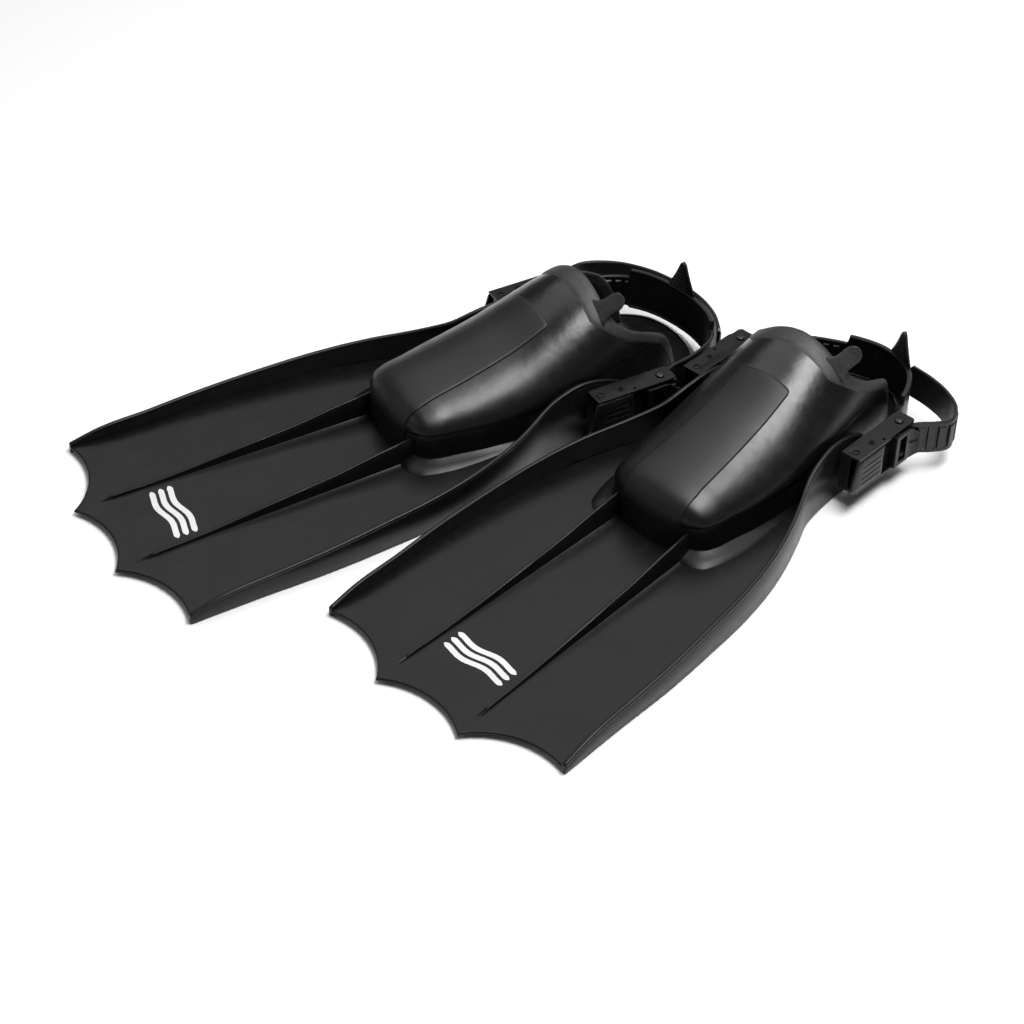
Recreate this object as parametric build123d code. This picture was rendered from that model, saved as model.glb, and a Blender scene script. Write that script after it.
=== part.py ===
"""A pair of strap-heel swim fins, one STEP file for each separate piece.

Millimetres, +Z up, blades towards -Y, heels towards +Y, the fins lie flat on z = 0.
Each fin is first drawn in its own frame: x across the blade, y = 0 at the blade's tip corners,
then turned and moved to its place beside the other one.  The two fins are identical mouldings;
only their straps are adjusted differently.
"""
from build123d import *
import math
import os

# ---------------------------------------------------------------- how the pair lies
FIN_TURN = 8.47           # each fin is turned this much about Z, so the blades spread apart
FIN_PLACE = {"left": (127.25, -170.92), "right": (-127.25, -247.62)}

# ---------------------------------------------------------------- blade
MID_TIP = (36.0, -24.2)   # the two middle tips
SCALLOP_RADIUS = 61.0
BLADE_TOP_AT_TIP = 5.2
BLADE_SLOPE = 0.023       # the blade's surface rises this much per mm towards the heel
BLADE_THICK_TIP = 2.6
BLADE_THICK_ROOT = 4.0
BLADE_END_Y = 293.0       # the blade runs in beside the pocket as far as this
RIB_FOOT = 1.5            # the ribs reach this far down into the blade

# half width of the fin along its length (y, x)
SIDE_LINE = [(0, 105), (50, 103.6), (105, 103), (147, 100.3), (189, 96.2), (222, 90), (252, 81),
             (273, 72.8), (292, 64.8), (312, 61.2), (357, 59.8)]
RAIL_THICK = 3.2
RAIL_TOP = [(0, 7.5), (21, 13), (63, 16.5), (105, 20), (147, 23.5), (189, 26.5), (231, 29.9),
            (262, 33), (283, 37.5), (305, 45.5), (328, 49), (345, 46), (357, 41)]

RIB_X_TIP, RIB_X_ROOT = 35.2, 31.0
RIB_TOP = [(2, 6.8), (26, 7.9), (55, 9.8), (84, 12.8), (114, 16), (145, 19.1), (175, 24), (203, 27.5)]
RIB_TOP_WIDE, RIB_BASE_WIDE = 2.2, 7.0

# ---------------------------------------------------------------- sole under the foot
SOLE_TOP = 12.0
SOLE_HOLLOW = 6.0         # depth of the hollow under the sole
SOLE_WALL = 4.0
SOLE_STRIP_WIDE = 3.0     # stiffening strip along the middle of the hollow
SOLE_LINE = [(43, 193), (51, 198.5), (54.5, 206), (58, 219), (60.4, 235), (61, 262), (58.5, 292),
             (56.5, 314), (56, 334), (55.4, 354), (53.8, 382), (50, 415)]
TOE_Y = 193.0             # front of the sole
TOE_BULGE = 0.5           # the toe's front edge is bowed forwards this much
SOLE_HEEL_Y = 451.0
SOLE_TOE_WAY, SOLE_HEEL_WAY = (1, 0.35), (-0.317, 0.949)
SKIRT_LOW = 10.4          # the skirt slopes from just inside the sole's edge up to the pocket's foot
SKIRT_STEP = 0.8
SKIRT_TOP = 14.0
SKIRT_END_Y = 414.0

# ---------------------------------------------------------------- foot pocket
# stations along the pocket: y, base half width, crease half width, crease height, crown height
STATIONS = [(198.5, 14, 12, 31, 37), (200.5, 25.5, 24, 32.5, 42.5), (203.5, 34, 32.3, 33.2, 46.5),
            (208.5, 41.3, 39.4, 33.8, 49.7), (217, 45.2, 43.2, 34, 52.4), (231, 47.7, 45.7, 34, 55.5),
            (250, 51.2, 49.3, 34, 59.3), (270, 53.4, 51.6, 34.4, 64.2), (290, 54.8, 53.2, 36, 70),
            (315, 55, 53, 41, 80.5), (340, 54.3, 51.8, 47, 91.5), (360, 53.3, 50.5, 51, 98),
            (385, 51, 48.3, 51, 98), (407, 45, 42, 49, 92), (425, 33, 30, 47, 84)]
FOOT_LINE = [(y, base) for y, base, *_ in STATIONS if base > 40]   # the pocket's foot (y, half width)
CROWN_POWER = 1.8         # exponent of the rounded top of each section
SHELL = 3.0
PANEL_THICK = 1.2
PANEL_TOE_HALF, PANEL_HEEL_HALF = 26.0, 21.5
PANEL_END_Y, PANEL_CORNER = 320.0, 4.0
RIM_FRONT_Y = 359.0       # the collar's rear edge over the instep
# the rim of the opening, from the instep down each side to the sole (y, z)
RIM_LINE = [(359, 84), (366, 75), (376, 68.5), (388, 63.5), (399, 58.5), (407, 50), (414, 35), (419, 18)]
COLLAR_BAND = 14.0        # width of the matte collar over the instep
COLLAR_SIDE = 6.5         # and along the sides
COLLAR_SIDE_BACK = 3.9    # how far the collar's seam lies in front of the rim there
TAB_WIDE, TAB_LONG, TAB_THICK = 13.0, 17.0, 2.4
TAB_BASE = (34.0, 356.0, 87.6)
TAB_LEAN, TAB_ROLL = 33.0, 34.0

# ---------------------------------------------------------------- buckles
BUCKLE_IN, BUCKLE_OUT = 63.2, 78.7
BUCKLE_FRONT, BUCKLE_REAR = 327.0, 392.0
BUCKLE_LOW, BUCKLE_HIGH = 14.0, 44.5
CHEEK = 1.8               # thickness of the two cheek plates
SIDE_WALL, SIDE_WALL_END_Y = 1.6, 358.5
FRONT_WALL, FRONT_WALL_OUT = 1.8, 71.2
DIMPLE_RADIUS, DIMPLE_DEPTH = 2.4, 0.8
CHEEK_HOLE = 2.0          # small square hole beside the edge of each cheek
GAP = 0.3                 # play between parts that move past each other
FIT = 0.05                # radial play of a pin in its hole
STUD_Y, STUD_Z = 336.0, 29.5
STUD_RADIUS, STUD_HEAD_RADIUS, STUD_HEAD_THICK = 4.5, 6.5, 1.6
LEVER_PIN_X, LEVER_PIN_Y = 72.2, 349.0
LEVER_PIN_RADIUS, LEVER_HUB_RADIUS = 1.5, 3.2
LEVER_FACE_IN, LEVER_FACE_OUT = 76.9, 79.4
LEVER_PLATE_END = 356.0
LEVER_PLATE_RAKE = 5.0    # the thumb plate's upper front corner lies this far behind the lower one
GROOVE_COUNT, GROOVE_STEP, GROOVE_TILT = 4, 4.6, 12.0
GROOVE_LONG, GROOVE_WIDE, GROOVE_DEEP = 17.0, 0.9, 0.5
LEVER_WEB, LEVER_JAW_THICK = 2.4, 1.8
LEVER_JAW_START, LEVER_JAW_END = 367.5, 386.0
LEVER_JAW_OUT = 81.8
WINDOW_START, WINDOW_LONG, WINDOW_EDGE = 371.5, 9.5, 3.0
SPRING_THICK, SPRING_WIDE = 0.5, 4.0
SPRING_END = (74.4, 335.5)
ROLLER_X, ROLLER_Y = 71.2, 382.5
ROLLER_RADIUS, ROLLER_PIN_RADIUS = 3.0, 1.5
RIVET_RADIUS, RIVET_HIGH = 3.2, 1.5

# ---------------------------------------------------------------- heel strap
STRAP_THICK = 2.6
STRAP_LOW, STRAP_HIGH = 16.2, 42.3
BAND_LOW, BAND_HIGH = 14.8, 49.0
WRAP = ROLLER_RADIUS + GAP + STRAP_THICK / 2   # centre line of the strap round its roller
# centre line of each heel loop seen from above, from the inner buckle round to the outer one
STRAP_LOOP = {
    "left": [(-60, 397), (-50, 411), (-38, 422), (-22, 431), (-4, 438.5), (14, 441.5), (32, 437.5),
             (46.5, 427.5), (55, 414), (61, 398)],
    "right": [(-61, 399), (-58.5, 414), (-51, 428), (-36, 440.5), (-13, 449.5), (10, 453), (32, 450.5),
              (47, 443), (54.5, 430.5), (60, 414), (62.5, 400)],
}
# free tails outside the buckle, from the roller rearwards
STRAP_TAIL = {
    "left": {"outer": [(80.6, 392.5), (89, 402), (95, 412), (90, 425), (74, 437), (56, 443), (36, 445.5)],
             "inner": [(77.2, 390.5), (79.3, 397)]},
    "right": {"outer": [(78.8, 393), (81, 410), (71, 431), (50, 449), (24, 459.5), (-2, 463.5),
                        (-24, 460.5), (-43, 452.5)],
              "inner": [(76.7, 389.5), (77.8, 394.5)]},
}
BAND_HALF, BAND_THICK = 46.0, 3.6   # the wide heel band reaches this far each side of the pull tab
HEEL_TAB_X = {"left": 32.0, "right": -6.0}
HEEL_TAB_WIDE, HEEL_TAB_HIGH, HEEL_TAB_THICK = 27.0, 24.0, 3.0
HEEL_TAB_TIP, HEEL_TAB_ROOT = 4.0, 3.0
STRAP_SAMPLE = 7.0        # the strap's faces follow its centre line with a point this often


def along(points, at):
    """Value of a line of (position, value) points at one position, straight between points."""
    if at <= points[0][0]:
        return points[0][1]
    for (a, low), (b, high) in zip(points, points[1:]):
        if at <= b:
            return low + (high - low) * (at - a) / (b - a)
    return points[-1][1]


def prism_x(face, half):
    """Extrude a face drawn in the YZ plane both ways along X."""
    return extrude(face, half, both=True)


def side_face(points):
    """A face in the YZ plane from a closed list of (y, z) points with straight edges."""
    return make_face(Plane.YZ * Polyline(*points, close=True))


# ================================================================ rails and blade
def rail():
    """The raised rail along the fin's +x edge, from the tip corner to the buckle."""
    outer = Spline(*[(x, y) for y, x in SIDE_LINE])
    inner = Spline(*[(x - RAIL_THICK, y) for y, x in SIDE_LINE])
    band = make_face([outer, Line(outer @ 1, inner @ 1), inner, Line(inner @ 0, outer @ 0)])
    top = Plane.YZ * Spline(*RAIL_TOP)
    tall = RAIL_TOP[-1][0]
    base = Plane.YZ * Polyline(RAIL_TOP[-1], (tall, 0), (0, 0), RAIL_TOP[0])
    profile = make_face([*top.edges(), *base.edges()])
    return extrude(band, 60) & prism_x(profile, 140)


def scallop(start, end):
    """One concave arc between two tips, bulging towards the heel."""
    (x0, y0), (x1, y1) = start, end
    chord = math.hypot(x1 - x0, y1 - y0)
    depth = SCALLOP_RADIUS - math.sqrt(SCALLOP_RADIUS**2 - chord**2 / 4)
    middle = ((x0 + x1) / 2 - (y1 - y0) / chord * depth, (y0 + y1) / 2 + (x1 - x0) / chord * depth)
    return ThreePointArc(start, middle, end)


def blade_plate():
    """The thin blade between the rails, with its three scallops at the tip."""
    inner = [(x - RAIL_THICK, y) for y, x in SIDE_LINE]
    right = Spline(*inner)
    left = Spline(*[(-x, y) for x, y in inner])
    tip_x = inner[0][0]
    tips = [(-tip_x, 0), (-MID_TIP[0], MID_TIP[1]), MID_TIP, (tip_x, 0)]
    arcs = [scallop(a, b) for a, b in zip(tips, tips[1:])]
    outline = make_face([right, left, Line(left @ 1, right @ 1), *arcs])
    low, high = MID_TIP[1] - 1, BLADE_END_Y
    top_low = BLADE_TOP_AT_TIP + BLADE_SLOPE * low
    top_high = BLADE_TOP_AT_TIP + BLADE_SLOPE * high
    slab = side_face([(low, top_low - BLADE_THICK_TIP), (high, top_high - BLADE_THICK_ROOT),
                      (high, top_high), (low, top_low)])
    return extrude(outline, 40) & prism_x(slab, 140)


def rib():
    """One of the two long ribs, on the +x side, growing from the tip to the toe of the pocket."""
    sections = []
    for y, top in RIB_TOP:
        share = (y - RIB_TOP[0][0]) / (RIB_TOP[-1][0] - RIB_TOP[0][0])
        x = RIB_X_TIP + (RIB_X_ROOT - RIB_X_TIP) * share
        low = BLADE_TOP_AT_TIP + BLADE_SLOPE * y - RIB_FOOT
        base, crest = RIB_BASE_WIDE / 2 * (0.55 + 0.45 * share), RIB_TOP_WIDE / 2
        corners = [(x - base, low), (x + base, low), (x + crest, top), (x - crest, top)]
        sections.append(Face(Wire(Polyline(*[(cx, y, cz) for cx, cz in corners], close=True))))
    return loft(sections, ruled=True)


def plan_face(line, ways, heel):
    """A face seen from above from its +x side line; heel is an arc's middle point, or None for square."""
    right = Spline(*line, tangents=ways) if ways else Spline(*line)
    left = mirror(right, about=Plane.YZ)
    (toe_x, toe_y), (heel_x, heel_y) = line[0], line[-1]
    front = ThreePointArc((-toe_x, toe_y), (0, toe_y - TOE_BULGE), (toe_x, toe_y))
    if heel is None:
        back = Line((heel_x, heel_y), (-heel_x, heel_y))
    else:
        back = ThreePointArc((heel_x, heel_y), (0, heel), (-heel_x, heel_y))
    return make_face([*right.edges(), *left.edges(), front, back])


def sole_face(inset=0.0):
    """Outline of the sole, moved inwards by inset."""
    line = [(x - inset, y) for x, y in SOLE_LINE]
    line[0] = (line[0][0], line[0][1] + inset)
    return plan_face(line, [SOLE_TOE_WAY, SOLE_HEEL_WAY], SOLE_HEEL_Y - inset)


def skirt_face(table, inset=0.0):
    """Outline of one level of the skirt, from a table of (y, half width), moved inwards by inset."""
    line = [(x - inset, y) for y, x in table if y < SKIRT_END_Y]
    line[0] = (line[0][0], line[0][1] + inset)
    return plan_face([*line, (along(table, SKIRT_END_Y) - inset, SKIRT_END_Y)], None, None)


def skirt():
    """Low sloping skirt from the sole's edge up to the foot of the pocket."""
    edge = [(y, x) for x, y in SOLE_LINE]
    low = Pos(0, 0, SKIRT_LOW) * skirt_face(edge, SKIRT_STEP)
    return loft([low, Pos(0, 0, SKIRT_TOP) * skirt_face(FOOT_LINE)])


def blade():
    """Blade, ribs and the sole with its skirt, moulded in one."""
    body = blade_plate() + extrude(sole_face(), SOLE_TOP - 1) + skirt()
    well = Pos(0, 0, SOLE_TOP) * extrude(skirt_face(FOOT_LINE, SOLE_WALL), SKIRT_TOP)
    under = extrude(sole_face(SOLE_WALL), SOLE_HOLLOW)
    strip_middle = (TOE_Y + SOLE_HEEL_Y) / 2
    under -= Pos(0, strip_middle, 0) * Box(SOLE_STRIP_WIDE, SOLE_HEEL_Y - TOE_Y, 4 * SOLE_HOLLOW)
    bar = rib() - pocket_shape(0.0, bottom=SKIRT_TOP)
    return body - well - under + [bar, mirror(bar, about=Plane.YZ)]


# ================================================================ foot pocket
def section(y, base, crease, crease_z, crown, bottom):
    """One cross-section of the pocket: straight sides up to a crease, then a rounded top."""
    arch = []
    for step in range(9):
        angle = math.pi * step / 8
        c, s = math.cos(angle), math.sin(angle)
        x = crease * math.copysign(abs(c) ** (2 / CROWN_POWER), c)
        z = crease_z + (crown - crease_z) * abs(s) ** (2 / CROWN_POWER)
        arch.append((x, y, z))
    top = Spline(*arch)
    right, left = (base, y, bottom), (-base, y, bottom)
    return Face(Wire([Line(right, arch[0]), top, Line(arch[-1], left), Line(left, right)]))


def pocket_shape(grow, bottom):
    """Solid volume of the pocket, grown outwards by grow (or shrunk, when negative)."""
    faces = []
    for y, base, crease, crease_z, crown in STATIONS:
        at = y - grow if y < 220 else y
        faces.append(section(at, base + grow, crease + grow, crease_z, crown + grow, bottom))
    return loft(faces, ruled=True)


def above_line(line, front, far=520.0, high=130.0):
    """Everything above a side-view line and behind its first point."""
    points = [(front, high), *line, (far, line[-1][1]), (far, high)]
    return prism_x(side_face(points), 100)


def pocket_shell():
    """The whole rubber upper as a shell, still with its collar and without the opening."""
    inside = pocket_shape(-SHELL, bottom=SKIRT_TOP - 1)
    back_y = STATIONS[-1][0]
    open_heel = Pos(0, back_y, 70) * Box(3 * back_y, 12, 200)
    shell = pocket_shape(0.0, bottom=SKIRT_TOP) - inside
    return shell - open_heel - above_line(RIM_LINE, RIM_FRONT_Y)


def collar_zone():
    """The strip of the upper next to the opening, which is the separate matte collar."""
    line = [(y - COLLAR_SIDE_BACK, z - COLLAR_SIDE) for y, z in RIM_LINE]
    line[0] = (RIM_FRONT_Y - COLLAR_BAND, RIM_LINE[0][1] - COLLAR_SIDE)
    return above_line(line, RIM_FRONT_Y - COLLAR_BAND)


def foot_pocket():
    return (pocket_shell() - collar_zone()).solids().sort_by(SortBy.VOLUME)[-1]


def ankle_collar():
    """Collar round the opening, with the rounded pull tab on its +x side."""
    band = (pocket_shell() & collar_zone()).solids().sort_by(SortBy.VOLUME)[-1]
    root = 4.0
    shape = Pos(0, TAB_LONG / 2 - root) * SlotOverall(TAB_LONG + 2 * root, TAB_WIDE, rotation=90)
    tab = Rot(0, TAB_ROLL, 0) * Rot(TAB_LEAN, 0, 0) * extrude(shape, TAB_THICK / 2, both=True)
    tab = Pos(*TAB_BASE) * tab
    inside = pocket_shape(-SHELL, bottom=SKIRT_TOP - 1) & above_line([(PANEL_END_Y, 60)], PANEL_END_Y)
    return (band + (tab - inside)).solids().sort_by(SortBy.VOLUME)[-1]


def instep_panel():
    """The raised matte panel over the toes and instep."""
    skin = pocket_shape(PANEL_THICK, bottom=SKIRT_TOP) - pocket_shape(0.0, bottom=SKIRT_TOP)
    toe, heel = TOE_Y - 4, PANEL_END_Y
    shape = make_face(Polyline((-PANEL_TOE_HALF, toe), (PANEL_TOE_HALF, toe), (PANEL_HEEL_HALF, heel),
                               (-PANEL_HEEL_HALF, heel), close=True))
    shape = fillet(shape.vertices().sort_by(Axis.Y)[-2:], PANEL_CORNER)
    return (skin & extrude(shape, 120)).solids().sort_by(SortBy.VOLUME)[-1]


# ================================================================ buckle, drawn on the +x side
def upright(x, y, wide, long, low, high):
    """A block standing between two heights, centred on x, with its front face at y."""
    return Pos(x, y + long / 2, (low + high) / 2) * Box(wide, long, high - low)


def buckle_frame():
    """Two cheek plates joined by the inner wall and the front wall."""
    wide, long = BUCKLE_OUT - BUCKLE_IN, BUCKLE_REAR - BUCKLE_FRONT
    plate = Pos((BUCKLE_IN + BUCKLE_OUT) / 2, (BUCKLE_FRONT + BUCKLE_REAR) / 2) * Rectangle(wide, long)
    plate = fillet(plate.vertices().sort_by(Axis.Y)[-2:], 3)
    body = Pos(0, 0, BUCKLE_HIGH - CHEEK) * extrude(plate, CHEEK)
    body += Pos(0, 0, BUCKLE_LOW) * extrude(plate, CHEEK)
    body += upright(BUCKLE_IN + SIDE_WALL / 2, BUCKLE_FRONT, SIDE_WALL, SIDE_WALL_END_Y - BUCKLE_FRONT,
                    BUCKLE_LOW, BUCKLE_HIGH)
    body += upright((BUCKLE_IN + FRONT_WALL_OUT) / 2, BUCKLE_FRONT, FRONT_WALL_OUT - BUCKLE_IN, FRONT_WALL,
                    BUCKLE_LOW, BUCKLE_HIGH)
    tall = BUCKLE_HIGH + 10
    body -= Pos(BUCKLE_IN, STUD_Y, STUD_Z) * Rot(0, 90, 0) * Cylinder(STUD_RADIUS + FIT, 10)
    body -= Pos(LEVER_PIN_X, LEVER_PIN_Y, tall / 2) * Cylinder(LEVER_PIN_RADIUS, tall)
    body -= Pos(ROLLER_X, ROLLER_Y, tall / 2) * Cylinder(ROLLER_PIN_RADIUS, tall)
    dimple = Pos(LEVER_PIN_X - 1, BUCKLE_FRONT + 6, BUCKLE_HIGH)
    body -= dimple * Cylinder(DIMPLE_RADIUS, 2 * DIMPLE_DEPTH)
    hole = Pos(BUCKLE_OUT - 3, SIDE_WALL_END_Y, BUCKLE_HIGH)
    return body - hole * Box(CHEEK_HOLE, CHEEK_HOLE, 3 * CHEEK)


def thumb_plate(low, high):
    """The grooved plate that the thumb presses, in front of the lever's pin."""
    back = LEVER_PLATE_END
    side = side_face([(BUCKLE_FRONT, low), (back, low), (back, high),
                      (BUCKLE_FRONT + LEVER_PLATE_RAKE, high)])
    plate = Pos(LEVER_FACE_IN, 0, 0) * extrude(side, LEVER_FACE_OUT - LEVER_FACE_IN, dir=(1, 0, 0))
    middle = (low + high) / 2
    for step in range(GROOVE_COUNT):
        up = GROOVE_STEP * (step - (GROOVE_COUNT - 1) / 2)
        groove = Pos(LEVER_FACE_OUT, (BUCKLE_FRONT + back) / 2 + 1, middle + up) * Rot(GROOVE_TILT, 0, 0)
        plate -= groove * Box(2 * GROOVE_DEEP, GROOVE_LONG, GROOVE_WIDE)
    return plate


def release_lever():
    """Rocker lever: the grooved thumb plate in front, the windowed jaw over the strap behind."""
    low, high = BUCKLE_LOW + CHEEK + GAP, BUCKLE_HIGH - CHEEK - GAP
    middle, tall = (low + high) / 2, high - low
    lever = thumb_plate(low, high)
    lever += Pos(LEVER_PIN_X, LEVER_PIN_Y, middle) * Cylinder(LEVER_HUB_RADIUS, tall)
    neck_out = (LEVER_FACE_IN + LEVER_FACE_OUT) / 2
    lever += upright((LEVER_PIN_X + neck_out) / 2, LEVER_PIN_Y - LEVER_HUB_RADIUS, neck_out - LEVER_PIN_X,
                     2 * LEVER_HUB_RADIUS, low, high)
    web_x = LEVER_PIN_X + 1.6
    lever += upright(web_x, LEVER_PIN_Y, LEVER_WEB, LEVER_JAW_START + 1 - LEVER_PIN_Y, low, high)
    bar_in = web_x - LEVER_WEB / 2
    lever += upright((bar_in + LEVER_JAW_OUT) / 2, LEVER_JAW_START, LEVER_JAW_OUT - bar_in, LEVER_WEB,
                     low, high)
    jaw = upright(LEVER_JAW_OUT - LEVER_JAW_THICK / 2, LEVER_JAW_START, LEVER_JAW_THICK,
                  LEVER_JAW_END - LEVER_JAW_START, low, high)
    jaw -= upright(LEVER_JAW_OUT, WINDOW_START, 4 * LEVER_JAW_THICK, WINDOW_LONG,
                   low + WINDOW_EDGE, high - WINDOW_EDGE)
    lever += jaw
    return lever - Pos(LEVER_PIN_X, LEVER_PIN_Y, middle) * Cylinder(LEVER_PIN_RADIUS + FIT, 2 * tall)


def lever_pin():
    z = (BUCKLE_HIGH + BUCKLE_LOW) / 2
    return Pos(LEVER_PIN_X, LEVER_PIN_Y, z) * Cylinder(LEVER_PIN_RADIUS, BUCKLE_HIGH - BUCKLE_LOW)


def lever_spring():
    """Bent steel leaf on the frame's inner wall, reaching out behind the thumb plate."""
    wall_x = BUCKLE_IN + SIDE_WALL + SPRING_THICK / 2
    line = FilletPolyline((wall_x, LEVER_PIN_Y + 5.5), (wall_x, LEVER_PIN_Y - 4.5), SPRING_END, radius=3)
    leaf = make_face(offset(line, SPRING_THICK / 2, side=Side.BOTH).edges())
    return Pos(0, 0, BUCKLE_LOW + CHEEK + GAP) * extrude(leaf, SPRING_WIDE)


def strap_roller():
    low, high = BUCKLE_LOW + CHEEK + GAP, BUCKLE_HIGH - CHEEK - GAP
    middle = Pos(ROLLER_X, ROLLER_Y, (low + high) / 2)
    return middle * Cylinder(ROLLER_RADIUS, high - low) - middle * Cylinder(ROLLER_PIN_RADIUS + FIT, high)


def roller_pin():
    """Axle of the roller, riveted over the top cheek."""
    low, high = BUCKLE_LOW, BUCKLE_HIGH
    pin = Pos(ROLLER_X, ROLLER_Y, (low + high) / 2) * Cylinder(ROLLER_PIN_RADIUS, high - low)
    head = Pos(ROLLER_X, ROLLER_Y, high + RIVET_HIGH / 2) * Cylinder(RIVET_RADIUS, RIVET_HIGH)
    return pin + fillet(head.edges().sort_by(Axis.Z)[-1:], RIVET_HIGH / 2)


def anchor_stud():
    """Headed stud on the side of the fin; the buckle turns on it."""
    rail_out = along(SIDE_LINE, STUD_Y)
    shank_end = BUCKLE_IN + SIDE_WALL + GAP
    lengths = [(STUD_RADIUS, rail_out, shank_end),
               (STUD_HEAD_RADIUS, shank_end, shank_end + STUD_HEAD_THICK),
               (STUD_HEAD_RADIUS + 1, rail_out, BUCKLE_IN - GAP)]
    stud = None
    for radius, start, end in lengths:
        disc = Pos((start + end) / 2, STUD_Y, STUD_Z) * Rot(0, 90, 0) * Cylinder(radius, end - start)
        stud = disc if stud is None else stud + disc
    return stud


# ================================================================ heel strap
def strap_line(fin):
    """The strap's centre line seen from above: tail, roller, heel loop, roller, tail."""
    near, far = ROLLER_X - WRAP, ROLLER_X + WRAP
    tails = STRAP_TAIL[fin]
    right_tail, left_tail = (tails["outer"], tails["inner"])
    if fin == "right":
        right_tail, left_tail = left_tail, right_tail
    start = [(-x, y) for x, y in reversed(left_tail)]
    end = list(right_tail)
    first = (start[1][0] - start[0][0], start[1][1] - start[0][1])
    last = (end[-1][0] - end[-2][0], end[-1][1] - end[-2][1])
    up, down = (0, 1), (0, -1)
    return [Spline(*start, (-far, ROLLER_Y), tangents=[first, down]),
            ThreePointArc((-far, ROLLER_Y), (-ROLLER_X, ROLLER_Y - WRAP), (-near, ROLLER_Y)),
            Spline((-near, ROLLER_Y), *STRAP_LOOP[fin], (near, ROLLER_Y), tangents=[up, down]),
            ThreePointArc((near, ROLLER_Y), (ROLLER_X, ROLLER_Y - WRAP), (far, ROLLER_Y)),
            Spline((far, ROLLER_Y), *end, tangents=[up, last])]


def strip_face(pieces, thick):
    """A strip of the given thickness seen from above; pieces are (curve, first share, last share)."""
    sides = ([], [])
    for curve, first, last in pieces:
        count = max(6, round(curve.length * (last - first) / STRAP_SAMPLE))
        ends = count + 1 if curve is pieces[-1][0] else count
        for step in range(ends):
            share = first + (last - first) * step / count
            at, way = curve @ share, curve % share
            for row, half in zip(sides, (thick / 2, -thick / 2)):
                row.append((at.X - way.Y * half, at.Y + way.X * half))
    one, two = (Spline(*row) for row in sides)
    return make_face([one, Line(one @ 1, two @ 1), two, Line(two @ 0, one @ 0)])


def share_at_x(curve, x):
    """How far along a curve its x is nearest the given one, as a share of its length."""
    steps = 200
    shares = [step / steps for step in range(steps // 4, steps * 3 // 4)]
    return min(shares, key=lambda share: abs((curve @ share).X - x))


def heel_strap(fin):
    """Toothed strap through both buckles, with the wide heel band and its triangular pull tab."""
    line = strap_line(fin)
    strip = strip_face([(piece, 0, 1) for piece in line], STRAP_THICK)
    strap = Pos(0, 0, STRAP_LOW) * extrude(strip, STRAP_HIGH - STRAP_LOW)
    loop = line[2]
    middle = share_at_x(loop, HEEL_TAB_X[fin])
    reach = BAND_HALF / loop.length
    band = strip_face([(loop, middle - reach, middle + reach)], BAND_THICK)
    strap += Pos(0, 0, BAND_LOW) * extrude(band, BAND_HIGH - BAND_LOW)
    half, tip = HEEL_TAB_WIDE / 2, HEEL_TAB_TIP / 2
    corners = [(-half, 0), (half, 0), (tip, HEEL_TAB_HIGH), (-tip, HEEL_TAB_HIGH)]
    tab = extrude(make_face(Plane.XZ * Polyline(*corners, close=True)), HEEL_TAB_THICK / 2, both=True)
    at, way = loop @ middle, loop % middle
    turn = math.degrees(math.atan2(way.Y, way.X))
    return strap + Pos(at.X, at.Y, BAND_HIGH - HEEL_TAB_ROOT) * Rot(0, 0, turn) * tab


# ================================================================ assembly
def place(piece, fin, side=1):
    """Mirror a piece to the -x side if asked, then put it where its fin lies."""
    if side < 0:
        piece = mirror(piece, about=Plane.YZ)
    turn = FIN_TURN if fin == "left" else -FIN_TURN
    x, y = FIN_PLACE[fin]
    return Pos(x, y, 0) * Rot(0, 0, turn) * piece


def main():
    os.makedirs("parts", exist_ok=True)
    single = {"blade": blade(), "foot_pocket": foot_pocket(), "instep_panel": instep_panel(),
              "ankle_collar": ankle_collar()}
    sided = {"rail": rail(), "anchor_stud": anchor_stud(), "buckle_frame": buckle_frame(),
             "release_lever": release_lever(), "lever_pin": lever_pin(), "lever_spring": lever_spring(),
             "strap_roller": strap_roller(), "roller_pin": roller_pin()}
    for fin in ("left", "right"):
        for name, piece in single.items():
            export_step(place(piece, fin), f"parts/{fin}_{name}.step")
        export_step(place(heel_strap(fin), fin), f"parts/{fin}_heel_strap.step")
        for name, piece in sided.items():
            for where, side in (("outer", 1), ("inner", -1)):
                turned = side if fin == "left" else -side
                export_step(place(piece, fin, turned), f"parts/{fin}_{where}_{name}.step")


main()
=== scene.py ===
"""How the pair of swim fins looks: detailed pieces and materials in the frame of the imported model.

Shapes are worked out in millimetres in each fin's own frame, the one the CAD part is drawn in:
x across the blade, y = 0 at the blade's tip corners, +y towards the heel, z up from the floor.
"""
import math

import bmesh
import bpy
from mathutils import Matrix, Vector


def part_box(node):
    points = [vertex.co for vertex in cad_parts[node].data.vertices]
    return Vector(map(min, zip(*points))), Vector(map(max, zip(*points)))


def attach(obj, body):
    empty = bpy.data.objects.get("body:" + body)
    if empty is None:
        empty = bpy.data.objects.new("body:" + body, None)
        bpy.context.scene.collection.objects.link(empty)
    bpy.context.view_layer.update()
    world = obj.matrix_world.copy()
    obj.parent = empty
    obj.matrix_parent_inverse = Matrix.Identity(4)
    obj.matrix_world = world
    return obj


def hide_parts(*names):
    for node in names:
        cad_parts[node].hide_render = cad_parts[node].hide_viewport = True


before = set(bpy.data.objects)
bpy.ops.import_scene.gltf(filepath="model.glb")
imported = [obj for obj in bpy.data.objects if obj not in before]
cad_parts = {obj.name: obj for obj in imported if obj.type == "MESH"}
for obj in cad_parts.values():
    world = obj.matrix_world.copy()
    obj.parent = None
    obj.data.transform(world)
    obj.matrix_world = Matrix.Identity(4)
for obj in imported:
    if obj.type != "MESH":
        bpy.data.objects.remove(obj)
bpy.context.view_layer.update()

MM = 0.001
WELD = 0.004 * MM

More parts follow.
